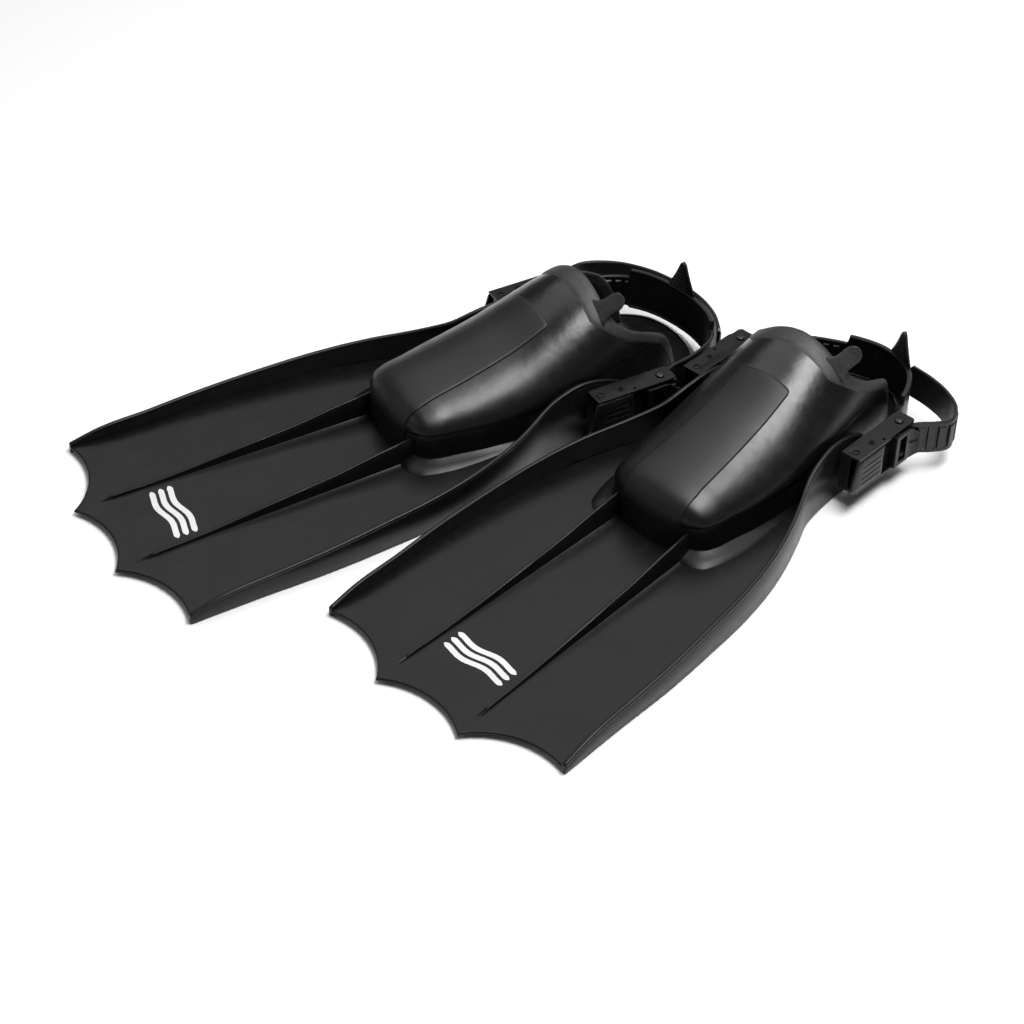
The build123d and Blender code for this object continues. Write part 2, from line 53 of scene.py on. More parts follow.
# ---- blade
SIDE_LINE = [(0, 105), (50, 103.6), (105, 103), (147, 100.3), (189, 96.2), (222, 90), (252, 81),
             (273, 72.8), (292, 64.8), (312, 61.2), (357, 59.8)]
RAIL_THICK, RAIL_END = 3.2, 357.0
RAIL_TOP = [(0, 7.5), (21, 13), (63, 16.5), (105, 20), (147, 23.5), (189, 26.5), (231, 29.9),
            (262, 33), (283, 37.5), (305, 45.5), (328, 49), (345, 46), (357, 41)]
MID_TIP = (36.0, -24.2)
SCALLOP_RADIUS = 61.0
BLADE_TOP_AT_TIP, BLADE_SLOPE = 5.2, 0.023
BLADE_THICK_TIP, BLADE_THICK_ROOT = 2.6, 4.0
BLADE_END = 293.0
EDGE_STEPS = [0, 0.12, 0.4, 0.85, 1.35, 3.5, 7, 12]    # rows that follow the scalloped edge
FAN_SHARES = [0.2, 0.394, 0.428, 0.472, 0.667, 0.85]   # rows that lead over to the straight ones
RIB_LINE = [(-24.2, 36.0), (2, 35.2), (203, 31.0)]
RIB_TOP = [(-3, 5.15), (4, 6.9), (26, 7.9), (55, 9.8), (84, 12.8), (114, 16), (145, 19.1), (175, 24),
           (203, 27.5)]
RIB_CREST, RIB_BASE, RIB_FOOT, RIB_START, RIB_END = 1.05, 2.5, 0.9, 2.4, 203.6

# ---- sole and skirt
# matching points of the sole's edge and the pocket's foot: edge x, y, foot x, y, foot height
TRAY_FRONT = [(0, 199.5, 0, 200.6, 13.8), (16, 200, 14, 201, 13.8), (30.6, 201, 27, 202.2, 13.8)]
TRAY_SIDE = [(31.4, 192.3, 30.2, 202.0, 14.2), (43, 193, 34.4, 203.8, 14.2), (51, 198.5, 40.0, 207.4, 14.2),
             (54.5, 206, 43.2, 212.5, 14.2), (58, 219, 46.0, 221, 14.2), (60.4, 235, 48.4, 235, 14.2),
             (61, 262, 52.5, 262, 14.2), (58.5, 292, 54.9, 292, 14.2), (56.5, 314, 55, 314, 14.2),
             (56, 334, 54.5, 334, 14.2), (55.4, 354, 53.6, 354, 14.2), (53.8, 382, 51.3, 382, 14.2),
             (50.5, 411, 45.5, 406, 14.0), (47.5, 426, 43, 420, 12.2), (36, 441, 32, 435.5, 12),
             (19, 448.5, 17, 443, 12), (0, 451, 0, 445.5, 12)]
TRAY_STEPS, TRAY_MIDDLE_Y = 90, 320.0
SKIRT_LOW, SKIRT_TOP = 10.2, 14.0
WELL_FLOOR, SOLE_HOLLOW, SOLE_WALL = 12.0, 6.0, 4.0
SOLE_RIBS, SOLE_RIB_ROWS, SOLE_RIB_END = (-32, -16, 0, 16, 32), (210, 250, 300, 350, 400), 434.0

# ---- foot pocket
# y, half width at the foot, half width at the crease, crease height, crown height
STATIONS = [(197.3, 0.3, 0.3, 27.8, 28), (197.36, 3.2, 3.1, 28.5, 29.6), (197.5, 6.4, 6.2, 29.3, 31.6),
            (197.9, 10.6, 10.3, 30, 34), (198.5, 15.2, 14.8, 30.8, 36.8), (199.5, 20.6, 20, 31.6, 40),
            (200.9, 26.3, 25.2, 32.4, 43), (203.5, 33.6, 32, 33.2, 46.3), (208.5, 41, 39.2, 33.8, 49.6),
            (217, 45.2, 43.4, 34, 52.4), (231, 47.7, 45.8, 34, 55.5), (250, 51.2, 49.4, 34, 59.3),
            (270, 53.4, 51.8, 34.4, 64.2), (290, 54.8, 53.3, 36, 70), (315, 55, 53.2, 41, 80.5),
            (340, 54.3, 52.2, 47, 91.5), (360, 53.3, 50.8, 51, 98), (385, 51, 48.4, 51, 98),
            (407, 45.5, 42.5, 49, 92), (425, 33, 30, 47, 84)]
TOE_FRONT = STATIONS[0][0]
CROWN_POWER = 1.8
WALL_POINTS, DOME_STEPS = 9, 44
SKIN_COLUMNS = 2 * WALL_POINTS + DOME_STEPS
SHELL = 3.0
FOOT_Z = 13.6
PANEL_TOE_HALF, PANEL_HEEL_HALF, PANEL_CORNER, PANEL_PROUD = 26.0, 21.5, 4.0, 1.1
PANEL_TAPER_START, PANEL_END = 205.0, 320.0
PANEL_SHARES = [-1, -0.985, -0.96, -0.9, -0.8, -0.65, -0.5, -0.33, -0.16]
PANEL_SHARES += [0] + [-share for share in reversed(PANEL_SHARES)]
PANEL_APRON = [9.2, 10.2, 12, 15, 19, 23, 26, 28.5]    # heights up the toe wall
PANEL_NOSE = [0.06, 0.25, 0.7, 1.4, 2.4, 3.8, 5.6, 8, 11, 15, 20]    # steps rearwards over the nose
PANEL_NOSE_LOW = 28.6
RIM_LINE = [(84, 359), (75, 366), (68.5, 376), (63.5, 388), (58.5, 399), (50, 407), (35, 414), (18, 419)]
SEAM_LINE = [(80, 345), (69, 361), (62.5, 371), (57.5, 383.5), (52.5, 394.5), (44, 402.5), (30, 409),
             (14, 413)]
TAB_BASE, TAB_LEAN, TAB_ROLL = (34.0, 356.0, 87.6), 33.0, 34.0
TAB_LONG, TAB_HALF, TAB_THICK = 17.0, 6.5, 2.4
TAB_ROWS = [-5, -3.4, -2, -0.8, 0.4, 1.6, 3, 4.5, 6, 8, 10, 11.5, 13, 14.3, 15.4, 16.2, 16.7, 16.95]

# ---- buckles and strap
BUCKLE_FRONT, BUCKLE_LOW, BUCKLE_HIGH = 327.0, 14.0, 44.5
LEVER_PIN_X, LEVER_PIN_Y = 72.2, 349.0
DIMPLE_X, DIMPLE_Y = LEVER_PIN_X - 1, BUCKLE_FRONT + 6
LEVER_LOW, LEVER_HIGH, LEVER_OUT, LEVER_THICK = 16.1, 42.4, 79.4, 2.6
GROOVES, GROOVE_LOW, GROOVE_PITCH, GROOVE_DEEP = 4, 4.6, 4.7, 0.55
GROOVE_FRONT, GROOVE_REAR = 331.4, 352.9
JAW_OUT, JAW_THICK = 81.6, 1.8
ROLLER_X, ROLLER_Y, ROLLER_RADIUS = 71.2, 382.5, 3.0
STRAP_THICK, STRAP_LOW, STRAP_HIGH = 2.6, 16.2, 42.3
BAND_LOW, BAND_HIGH, BAND_HALF, BAND_THICK = 14.8, 49.0, 46.0, 3.6
WRAP = ROLLER_RADIUS + 0.3 + STRAP_THICK / 2
STRAP_LOOP = {
    "left": [(-60, 397), (-50, 411), (-38, 422), (-22, 431), (-4, 438.5), (14, 441.5), (32, 437.5),
             (46.5, 427.5), (55, 414), (61, 398)],
    "right": [(-61, 399), (-58.5, 414), (-51, 428), (-36, 440.5), (-13, 449.5), (10, 453), (32, 450.5),
              (47, 443), (54.5, 430.5), (60, 414), (62.5, 400)],
}
# the tail beyond the roller on the -x side, then the one on the +x side
STRAP_TAIL = {
    "left": ([(77.2, 390.5), (79.3, 397)],
             [(80.6, 392.5), (89, 402), (95, 412), (90, 425), (74, 437), (56, 443), (36, 445.5)]),
    "right": ([(78.8, 393), (81, 410), (71, 431), (50, 449), (24, 459.5), (-2, 463.5), (-24, 460.5),
               (-43, 452.5)],
              [(76.7, 389.5), (77.8, 394.5)]),
}
TOOTH_PITCH, TOOTH_DEEP = 7.4, 1.4
TOOTH = [(0, 0.0), (0.4, 1.0), (2.6, 0.95), (4.7, 0.8), (5.1, 0.0)]   # distance along, share of its height
HEEL_TAB_X = {"left": 32.0, "right": -6.0}
HEEL_TAB_HALF, HEEL_TAB_TIP, HEEL_TAB_HIGH, HEEL_TAB_THICK = 13.5, 2.3, 24.0, 3.0
HEEL_TAB_RIBS, HEEL_RIB_LOW, HEEL_RIB_PITCH = 7, 0.6, 3.0

# ---- the printed mark
MARK_BARS, MARK_LOW, MARK_PITCH = 3, 25.5, 6.6
MARK_HALF_LONG, MARK_HALF_BAR, MARK_WAVE, MARK_STEPS = 27, 2.1, 1.5, 40


# ==== small helpers
def clamp(value, low=0.0, high=1.0):
    """The value, held between two limits."""
    return max(low, min(high, value))


def mix(a, b, share):
    """a moved a share of the way to b."""
    return a + (b - a) * share


def ease(value, low, high):
    """0 before low, 1 after high, smoothly in between."""
    share = clamp((value - low) / (high - low))
    return share * share * (3 - 2 * share)


def spline(rows, keys=None):
    """A smooth curve through rows of numbers, as a function of the key (the first number if not given)."""
    rows = [tuple(float(v) for v in row) for row in rows]
    keys = list(keys) if keys else [row[0] for row in rows]
    gaps = [b - a for a, b in zip(keys, keys[1:])]
    rises = [[(b - a) / gap for a, b in zip(one, two)] for one, two, gap in zip(rows, rows[1:], gaps)]
    slopes = [rises[0]]
    for before, after, h0, h1 in zip(rises, rises[1:], gaps, gaps[1:]):
        slopes.append([(a * h1 + b * h0) / (h0 + h1) for a, b in zip(before, after)])
    slopes.append(rises[-1])

    def at(key):
        key = clamp(key, keys[0], keys[-1])
        i = 0
        while i < len(gaps) - 1 and key > keys[i + 1]:
            i += 1
        h = gaps[i]
        t = (key - keys[i]) / h
        a, b = (1 + 2 * t) * (1 - t) ** 2, t * t * (3 - 2 * t)
        c, d = t * (1 - t) ** 2 * h, t * t * (t - 1) * h
        return [a * p + b * q + c * m + d * n
                for p, q, m, n in zip(rows[i], rows[i + 1], slopes[i], slopes[i + 1])]
    return at


def line(pairs):
    """A smooth function through (key, value) pairs."""
    curve = spline(pairs)
    return lambda key: curve(key)[1]


def turning_point(low, high, is_below):
    """Where is_below stops being true, between two keys."""
    for _ in range(30):
        middle = (low + high) / 2
        if is_below(middle):
            low = middle
        else:
            high = middle
    return (low + high) / 2


def repeated(first, pitch, count, steps):
    """The same few steps again and again, a pitch apart."""
    return [first + pitch * k + step for k in range(count) for step in steps]


def lengths(points):
    """Distance along a row of points, starting at 0."""
    out = [0.0]
    for a, b in zip(points, points[1:]):
        out.append(out[-1] + math.dist(a, b))
    return out


side_x = line(SIDE_LINE)
rail_top = line(RAIL_TOP)
rib_x = line(RIB_LINE)
rib_top = line(RIB_TOP)
rim_y = line([(-z, y) for z, y in RIM_LINE])
seam_y = line([(-z, y) for z, y in SEAM_LINE])


def blade_top(y):
    """Height of the blade's upper face."""
    return BLADE_TOP_AT_TIP + BLADE_SLOPE * y


class Shape:
    """Points and faces gathered into one mesh; touching rows are joined when it is made."""

    def __init__(self):
        self.points, self.faces = [], []

    def grid(self, rows, closed=False):
        """Quads between rows of points; closed joins the last column to the first."""
        start, wide = len(self.points), len(rows[0])
        for row in rows:
            self.points += [tuple(p) for p in row]
        for r in range(len(rows) - 1):
            for c in range(wide if closed else wide - 1):
                a, b = start + r * wide + c, start + r * wide + (c + 1) % wide
                self.faces.append((a, b, b + wide, a + wide))
        return self

    def slab(self, top, bottom):
        """A closed sheet between two grids of the same size."""
        self.grid(top)
        self.grid(bottom)
        for end in (0, -1):
            self.grid([top[end], bottom[end]])
        for col in (0, -1):
            self.grid([[row[col] for row in top], [row[col] for row in bottom]])
        return self

    def tube(self, rings):
        """Rings of points joined along their length and closed at both ends."""
        self.grid(rings, closed=True)
        for ring in (rings[0], rings[-1]):
            start = len(self.points)
            self.points += [tuple(p) for p in ring]
            self.faces.append(tuple(range(start, start + len(ring))))
        return self

    def ladder(self, ring):
        """Fills a loop that is symmetric about x = 0 and starts there, rung by rung."""
        half = len(ring) // 2
        right = [ring[i] for i in range(half + 1)]
        left = [ring[-i] for i in range(half + 1)]
        return self.grid([[a, b] for a, b in zip(right, left)])


# ==== where the fins lie
def fin_frame(fin):
    """Matrix from a fin's own millimetres to the row frame in metres, found from its lever pins."""
    sides = ("outer", "inner") if fin == "left" else ("inner", "outer")
    boxes = [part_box(f"{fin}_{where}_lever_pin") for where in sides]
    plus, minus = [(low + high) / 2 for low, high in boxes]
    x_way = (plus - minus).normalized()
    y_way = Vector((0, 0, 1)).cross(x_way)
    origin = (plus + minus) / 2 - y_way * LEVER_PIN_Y * MM
    origin.z = 0
    turn = Matrix((x_way, y_way, (0, 0, 1))).transposed().to_4x4()
    return Matrix.Translation(origin) @ turn @ Matrix.Scale(MM, 4)


FIN_FRAME = {fin: fin_frame(fin) for fin in ("left", "right")}


def side_of(fin, where):
    """+1 for the buckle and rail on the fin's +x side, -1 for those on its -x side."""
    return 1 if (where == "outer") == (fin == "left") else -1


def weld(mesh):
    """Joins touching points and turns every face outwards."""
    work = bmesh.new()
    work.from_mesh(mesh)
    bmesh.ops.remove_doubles(work, verts=work.verts, dist=WELD)
    bmesh.ops.dissolve_degenerate(work, edges=work.edges, dist=WELD)
    bmesh.ops.recalc_face_normals(work, faces=work.faces)
    work.to_mesh(mesh)
    work.free()


def add_object(name, data):
    """A new object in the scene."""
    added = bpy.data.objects.new(name, data)
    bpy.context.scene.collection.objects.link(added)
    return added


def finish_piece(mesh, name, body, slot, node, sharp=38, bevel=0.0, look=None):
    """Turns a mesh in the row frame into a piece that rides a body and replaces a CAD node."""
    mesh.shade_smooth()
    mesh.set_sharp_from_angle(angle=math.radians(sharp))
    mesh.materials.clear()
    mesh.materials.append(MATERIAL[look or slot])
    piece = add_object(name, mesh)
    if bevel:
        rounding = piece.modifiers.new("rounding", "BEVEL")
        rounding.width, rounding.segments = bevel * MM, 2
        rounding.limit_method, rounding.angle_limit = "ANGLE", math.radians(35)
        rounding.use_clamp_overlap = True
    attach(piece, body)
    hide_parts(node)


def make_piece(shape, name, fin, body, slot, node, side=1, **finishing):
    """Places a shape from fin millimetres and makes it a piece; side -1 mirrors it first."""
    place = FIN_FRAME[fin] @ Matrix.Diagonal((side, 1, 1, 1))
    mesh = bpy.data.meshes.new(name)
    mesh.from_pydata([place @ Vector(p) for p in shape.points], [], shape.faces)
    weld(mesh)
    finish_piece(mesh, name, body, slot, node, **finishing)


def piece_from_cad(node, body, slot, bevel):
    """A copy of a CAD node with its facets joined, so that its edges can be rounded."""
    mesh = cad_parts[node].data.copy()
    mesh.name = f"{node}_detail"
    weld(mesh)
    work = bmesh.new()
    work.from_mesh(mesh)
    bmesh.ops.dissolve_limit(work, angle_limit=math.radians(1), verts=work.verts, edges=work.edges)
    work.to_mesh(mesh)
    work.free()
    finish_piece(mesh, f"{node}_detail", body, slot, node, bevel=bevel)


# ==== materials
def node_of(tree, kind, inputs, output=0, **settings):
    """One output of a new shader node whose inputs are linked to sockets or set to plain values."""
    node = tree.nodes.new("ShaderNode" + kind)
    for key, value in settings.items():
        setattr(node, key, value)
    for key, value in inputs.items():
        if isinstance(value, bpy.types.NodeSocket):
            tree.links.new(value, node.inputs[key])
        else:
            node.inputs[key].default_value = value
    return node.outputs[output]


def noise_of(tree, where, scale, detail=3.0, stretch=(1, 1, 1)):
    """Noise in the piece's own millimetres; scale is in patches per millimetre."""
    place = node_of(tree, "Mapping", {"Vector": where, "Scale": [scale / MM * s for s in stretch]})
    return node_of(tree, "TexNoise", {"Vector": place, "Scale": 1.0, "Detail": detail, "Roughness": 0.6})


def span(tree, source, low, high, to_low, to_high):
    """Maps a value from one range to another, clamped."""
    return node_of(tree, "MapRange", {"Value": source, "From Min": low, "From Max": high,
                                      "To Min": to_low, "To Max": to_high})


def combine(tree, kind, one, two):
    """Arithmetic on two values."""
    return node_of(tree, "Math", {0: one, 1: two}, operation=kind)


def blend_colour(tree, share, one, two):
    """Mixes two colours."""
    return node_of(tree, "Mix", {"Factor": share, 6: one, 7: two}, 2, data_type="RGBA")


def brighter(colour, times, plus):
    """A worn version of a colour."""
    return tuple(min(1, times * c + plus) for c in colour)


def hairlines(tree, where, scuff):
    """Fine scratches in two directions, as strong as scuff."""
    one = span(tree, noise_of(tree, where, 0.05, 6, (1, 26, 9)), 0.67, 0.71, 0, 1)
    two = span(tree, noise_of(tree, where, 0.06, 6, (22, 1.2, 7)), 0.69, 0.73, 0, 1)
    return combine(tree, "MULTIPLY", combine(tree, "MAXIMUM", one, two), scuff)


def gloss(tree, where, patch, lines, rough, low_dull):
    """Roughness that drifts in patches, rises in scratches and, with low_dull, towards the floor."""
    uneven = span(tree, patch, 0.3, 0.7, rough - 0.03, rough + 0.05)
    uneven = combine(tree, "ADD", uneven, combine(tree, "MULTIPLY", lines, 0.25))
    if low_dull:
        height = node_of(tree, "SeparateXYZ", {"Vector": where}, "Z")
        uneven = combine(tree, "ADD", uneven, span(tree, height, 50 * MM, 80 * MM, low_dull, 0))
    return uneven


def relief(tree, where, lines, grain, grain_size, wave):
    """A bump of fine grain, scratches and, with wave, long shallow swells."""
    fine = noise_of(tree, where, 1 / grain_size, 2)
    height = combine(tree, "ADD", combine(tree, "MULTIPLY", fine, grain),
                     combine(tree, "MULTIPLY", lines, -0.04))
    if wave:
        swell = combine(tree, "MULTIPLY", noise_of(tree, where, 0.07, 2), wave)
        height = combine(tree, "ADD", height, swell)
    return node_of(tree, "Bump", {"Height": height, "Strength": 1.0, "Distance": MM})


def new_material(name):
    """A material with its shader."""
    material = bpy.data.materials.new(name)
    material.use_nodes = True
    return material, material.node_tree.nodes["Principled BSDF"]


def finish(name, dark, light, rough, grain, grain_size, scuff=0.3, speckle=0.0, metallic=0.0,
           specular=0.5, wave=0.0, low_dull=0.0):
    """A moulded surface: drifting colour, uneven gloss, fine grain, rubbed patches and scratches."""
    material, shader = new_material(name)
    tree = material.node_tree
    where = node_of(tree, "TexCoord", {}, "Object")
    patch = noise_of(tree, where, 0.11, 5)
    lines = hairlines(tree, where, scuff)
    colour = blend_colour(tree, span(tree, noise_of(tree, where, 0.02, 4), 0.35, 0.65, 0, 1), dark, light)
    rub = span(tree, patch, 0.56, 0.72, 0, scuff)
    colour = blend_colour(tree, rub, colour, brighter(light, 1.5, 0.012))
    colour = blend_colour(tree, lines, colour, brighter(light, 1.8, 0.02))
    if speckle:
        dots = span(tree, noise_of(tree, where, 0.8, 3), 0.55, 0.7, 0, speckle)
        colour = blend_colour(tree, dots, colour, brighter(light, 2.4, 0.03))
    tree.links.new(colour, shader.inputs["Base Color"])
    tree.links.new(gloss(tree, where, patch, lines, rough, low_dull), shader.inputs["Roughness"])
    tree.links.new(relief(tree, where, lines, grain, grain_size, wave), shader.inputs["Normal"])
    shader.inputs["Metallic"].default_value = metallic
    shader.inputs["Specular IOR Level"].default_value = specular
    return material


# dark grey and its blue, light grey and its blue, roughness, grain's height and size in mm, the rest
LOOKS = {
    "blade_plastic": (0.0035, 0.004, 0.0055, 0.006, 0.33, 0.012, 0.5,
                      dict(scuff=0.16, specular=0.23, wave=0.12)),
    "rail_rubber": (0.003, 0.0034, 0.005, 0.0055, 0.34, 0.014, 0.5, dict(scuff=0.25, specular=0.3)),
    "pocket_rubber": (0.0025, 0.0026, 0.004, 0.0042, 0.25, 0.012, 0.7,
                      dict(scuff=0.12, wave=0.22, low_dull=0.1)),
    "panel_rubber": (0.005, 0.0055, 0.008, 0.0085, 0.42, 0.05, 0.35, dict(scuff=0.2, specular=0.34)),
    "collar_rubber": (0.014, 0.016, 0.024, 0.027, 0.5, 0.06, 0.35, dict(scuff=0.5, speckle=0.5)),
    "strap_rubber": (0.003, 0.003, 0.006, 0.006, 0.36, 0.02, 0.5, dict(specular=0.42)),
    "buckle_plastic": (0.004, 0.0045, 0.006, 0.0065, 0.28, 0.012, 0.4, dict(specular=0.22)),
    "rivet_plastic": (0.006, 0.0065, 0.01, 0.0105, 0.26, 0.01, 0.4, dict(scuff=0.4, specular=0.45)),
    "roller_plastic": (0.005, 0.005, 0.008, 0.008, 0.4, 0.012, 0.5, dict(specular=0.4)),
    # the pin steel's colour is made nearly black, far darker than the spring steel below: painted shade of
    # the holes the lever pins sit in
    "pin_steel": (0.05, 0.05, 0.09, 0.09, 0.4, 0.006, 0.3, dict(metallic=1.0)),
    "spring_steel": (0.3, 0.31, 0.4, 0.41, 0.26, 0.005, 0.3, dict(metallic=1.0)),
    "mark_print": (0.62, 0.62, 0.72, 0.72, 0.5, 0.01, 0.4, dict(scuff=0.2, specular=0.3)),
}
MATERIAL = {}
for name, (dark, dark_blue, light, light_blue, rough, *grain, rest) in LOOKS.items():
    colours = (dark, dark, dark_blue, 1), (light, light, light_blue, 1)
    MATERIAL[name] = finish(name, *colours, rough, *grain, **rest)


# ==== blade, ribs, sole
def tip_y(x):
    """The scalloped tip edge: three arcs between four tips."""
    corner = SIDE_LINE[0][1] - RAIL_THICK
    x = min(abs(x), corner)
    if x <= MID_TIP[0]:
        drop = math.sqrt(SCALLOP_RADIUS ** 2 - MID_TIP[0] ** 2)
        return MID_TIP[1] - drop + math.sqrt(SCALLOP_RADIUS ** 2 - x * x)
    long = math.dist(MID_TIP, (corner, 0))
    drop = math.sqrt(SCALLOP_RADIUS ** 2 - long ** 2 / 4)
    along_x, along_y = (corner - MID_TIP[0]) / long, -MID_TIP[1] / long
    centre_x = (corner + MID_TIP[0]) / 2 + along_y * drop
    centre_y = MID_TIP[1] / 2 - along_x * drop
    return centre_y + math.sqrt(SCALLOP_RADIUS ** 2 - (x - centre_x) ** 2)


def rib_base(y):
    """Half width of a rib at its foot, wider towards the toe."""
    return RIB_BASE * (0.55 + 0.45 * clamp((y - 2) / 201))


def blade_columns(y):
    """x of each lengthwise line of the blade at y, with the share of the rib's height that it has."""
    rib, base, edge = rib_x(y), rib_base(y), side_x(y) - RAIL_THICK + 0.4
    columns = [(rib * share, 0.0) for share in (0, 0.16, 0.32, 0.48, 0.62, 0.74)]
    profile = [(-base - RIB_FOOT, 0.0), (-base, 0.03), (-(base + RIB_CREST) / 2, 0.5), (-RIB_CREST, 0.965),
               (-RIB_CREST * 0.55, 1.0), (0, 1.0)]
    columns += [(rib + dx, h) for dx, h in profile]
    columns += [(rib - dx, h) for dx, h in reversed(profile[:-1])]
    start = rib + base + RIB_FOOT
    columns += [(mix(start, edge, share), 0.0)
                for share in (0.05, 0.13, 0.23, 0.34, 0.46, 0.58, 0.7, 0.8, 0.89, 0.96, 1)]
    return columns


def blade_rows(edge):
    """y of the rows in a column whose tip edge is given, with how far from the edge each lies."""
    across = [24, 30, 37, 44] + [52 + 8 * k for k in range(19)]
    across += [RIB_END - 0.8, RIB_END, RIB_END + 0.8, 212, 232, 252, 270, BLADE_END]
    rows = [edge + step for step in EDGE_STEPS]
    rows += [mix(rows[-1], across[0], share) for share in FAN_SHARES]
    return [(y, y - edge) for y in rows + across]


def blade_pair(column, y, inset):
    """Upper and lower point of the blade in one column."""
    x, height = blade_columns(y)[column]
    thick = mix(BLADE_THICK_TIP, BLADE_THICK_ROOT, clamp(y / BLADE_END))
    nose = thick / 2 * math.sqrt(1 - (1 - clamp(inset / (thick / 2))) ** 2)
    middle = blade_top(y) - thick / 2
    rib = max(0.0, rib_top(y) - blade_top(y)) if RIB_START < y < RIB_END + 0.1 else 0.0
    return (x, y, middle + nose + rib * height), (x, y, middle - nose)


def mirrored_row(row):
    """A row that runs from x = 0 outwards, completed with its mirror image."""
    return [(-x, y, z) for x, y, z in reversed(row[1:])] + row


def blade_shape():
    """The plate with its two ribs, its rounded scalloped edge and its under side."""
    columns = []
    for column, (x, _) in enumerate(blade_columns(-10)):
        edge = tip_y(blade_columns(tip_y(x))[column][0])
        columns.append([blade_pair(column, y, inset) for y, inset in blade_rows(edge)])
    rows = list(zip(*columns))
    top, bottom = ([mirrored_row([pair[face] for pair in row]) for row in rows] for face in (0, 1))
    return Shape().slab(top, bottom)


def tray_loops():
    """Sole edge and pocket foot all the way round, as (edge x, y, foot x, y, foot z) from the toe."""
    keys = lengths([row[:2] for row in TRAY_SIDE])
    curve = spline(TRAY_SIDE, keys)
    half = TRAY_FRONT + [tuple(curve(keys[-1] * k / TRAY_STEPS)) for k in range(TRAY_STEPS + 1)]
    half[-1] = TRAY_SIDE[-1]
    other = [(-a, b, -c, d, e) for a, b, c, d, e in reversed(half[1:-1])]
    return half + other


def tray_shape():
    """The sole: skirt up to the pocket's foot, the floor inside and the hollow underneath."""
    loop = tray_loops()
    middle = Vector((0, TRAY_MIDDLE_Y))

    def ring(share, inset, z):
        """The loop a share of the way up the skirt, moved inwards; z None keeps the foot's height."""
        out = []
        for edge_x, edge_y, foot_x, foot_y, foot_z in loop:
            x, y = mix(edge_x, foot_x, share), mix(edge_y, foot_y, share)
            inward = (middle - Vector((x, y))).normalized()
            inward = Vector((inward.x * 2.2, inward.y)).normalized()
            out.append((x + inward.x * inset, y + inward.y * inset, foot_z if z is None else z))
        return out

    rings = [ring(0, 1.0, 0), ring(0, 0.3, 0.3), ring(0, 0, 1.0), ring(0, 0, SKIRT_LOW - 0.5),
             ring(0.05, 0, SKIRT_LOW + 0.1), ring(0.5, 0, (SKIRT_LOW + SKIRT_TOP) / 2),
             ring(0.94, 0, SKIRT_TOP - 0.2), ring(1, 0, None), ring(1, 2.6, None), ring(1, 3.0, WELL_FLOOR)]
    shape = Shape().grid(rings, closed=True)
    shape.ladder(rings[-1])
    under = [rings[0], ring(0, SOLE_WALL, 0), ring(0, SOLE_WALL + 0.4, 0.6),
             ring(0, SOLE_WALL + 0.8, SOLE_HOLLOW)]
    shape.grid(under, closed=True)
    shape.ladder(under[-1])
    for x in SOLE_RIBS:
        rows = []
        for y in (*SOLE_RIB_ROWS, SOLE_RIB_END - abs(x) * 0.35):
            rows.append([(x - 1.5, y, SOLE_HOLLOW + 1), (x - 1.2, y, 0.8), (x - 0.7, y, 0.3),
                         (x + 0.7, y, 0.3), (x + 1.2, y, 0.8), (x + 1.5, y, SOLE_HOLLOW + 1)])
        shape.tube(rows)
    return shape


def rail_shape():
    """The raised edge rail with a thin bead along its top."""
    half = RAIL_THICK / 2
    # (across, from the rail's top, from the floor): the third counts where the second is None
    profile = [(half - 0.5, None, 0), (half, None, 0.6), (half, -3.2, 0), (half - 0.3, -2.7, 0),
               (half, -2.0, 0), (half, -0.9, 0), (half - 0.35, -0.3, 0), (half - 0.9, -0.03, 0),
               (0.9 - half, -0.03, 0), (0.35 - half, -0.3, 0), (-half, -0.9, 0), (-half, -1.7, 0),
               (0.45 - half, -2.3, 0), (0.45 - half, None, 0.6), (0.8 - half, None, 0)]
    rings = []
    stops = [0, 0.35, 1.0] + [2 + 3.0 * k for k in range(118)] + [RAIL_END - 1.4, RAIL_END - 0.4, RAIL_END]
    for y in stops:
        tuck = 0.8 * (1 - clamp(min(y, RAIL_END - y))) ** 2
        top, squeeze = rail_top(y) - tuck, 1 - 0.35 * tuck
        rings.append([(side_x(y) - half + dx * squeeze, y, low if down is None else max(top + down, 1.5))
                      for dx, down, low in profile])
    return Shape().tube(rings)


# ==== foot pocket
STATION_KEYS = lengths([(y, crown * 0.6, crease * 0.6) for y, _, crease, _, crown in STATIONS])
station = spline(STATIONS, STATION_KEYS)


def key_at_y(y):
    """The key along the stations at which the section lies at y."""
    return turning_point(0.0, STATION_KEYS[-1], lambda key: station(key)[0] < y)


def lip_size(y, crease):
    """Share of the full lip over the wall: none at the very toe and the heel, less at the instep."""
    return ease(crease, 26, 33) * (1 - 0.45 * ease(y, 300, 350)) * (1 - ease(y, 372, 392))


def wall_profile(key, side):
    """The side wall and the lip over it, from the foot up, as (x, z) for one side."""
    y, base, crease, crease_z, _ = station(key)
    lip = lip_size(y, crease)
    points = [(base, FOOT_Z), (mix(base, crease, 0.35), mix(FOOT_Z, crease_z, 0.35)),
              (mix(base, crease, 0.7), mix(FOOT_Z, crease_z, 0.7)),
              (crease + 0.2 - 0.9 * lip, crease_z - 2.9), (crease - 1.3 * lip, crease_z - 1.9),
              (crease - 1.0 * lip, crease_z - 1.25), (crease + 0.5 * lip, crease_z - 0.95),
              (crease + 0.75 * lip, crease_z - 0.45), (crease + 0.65 * lip, crease_z + 0.1)]
    return [(side * x, z) for x, z in points]


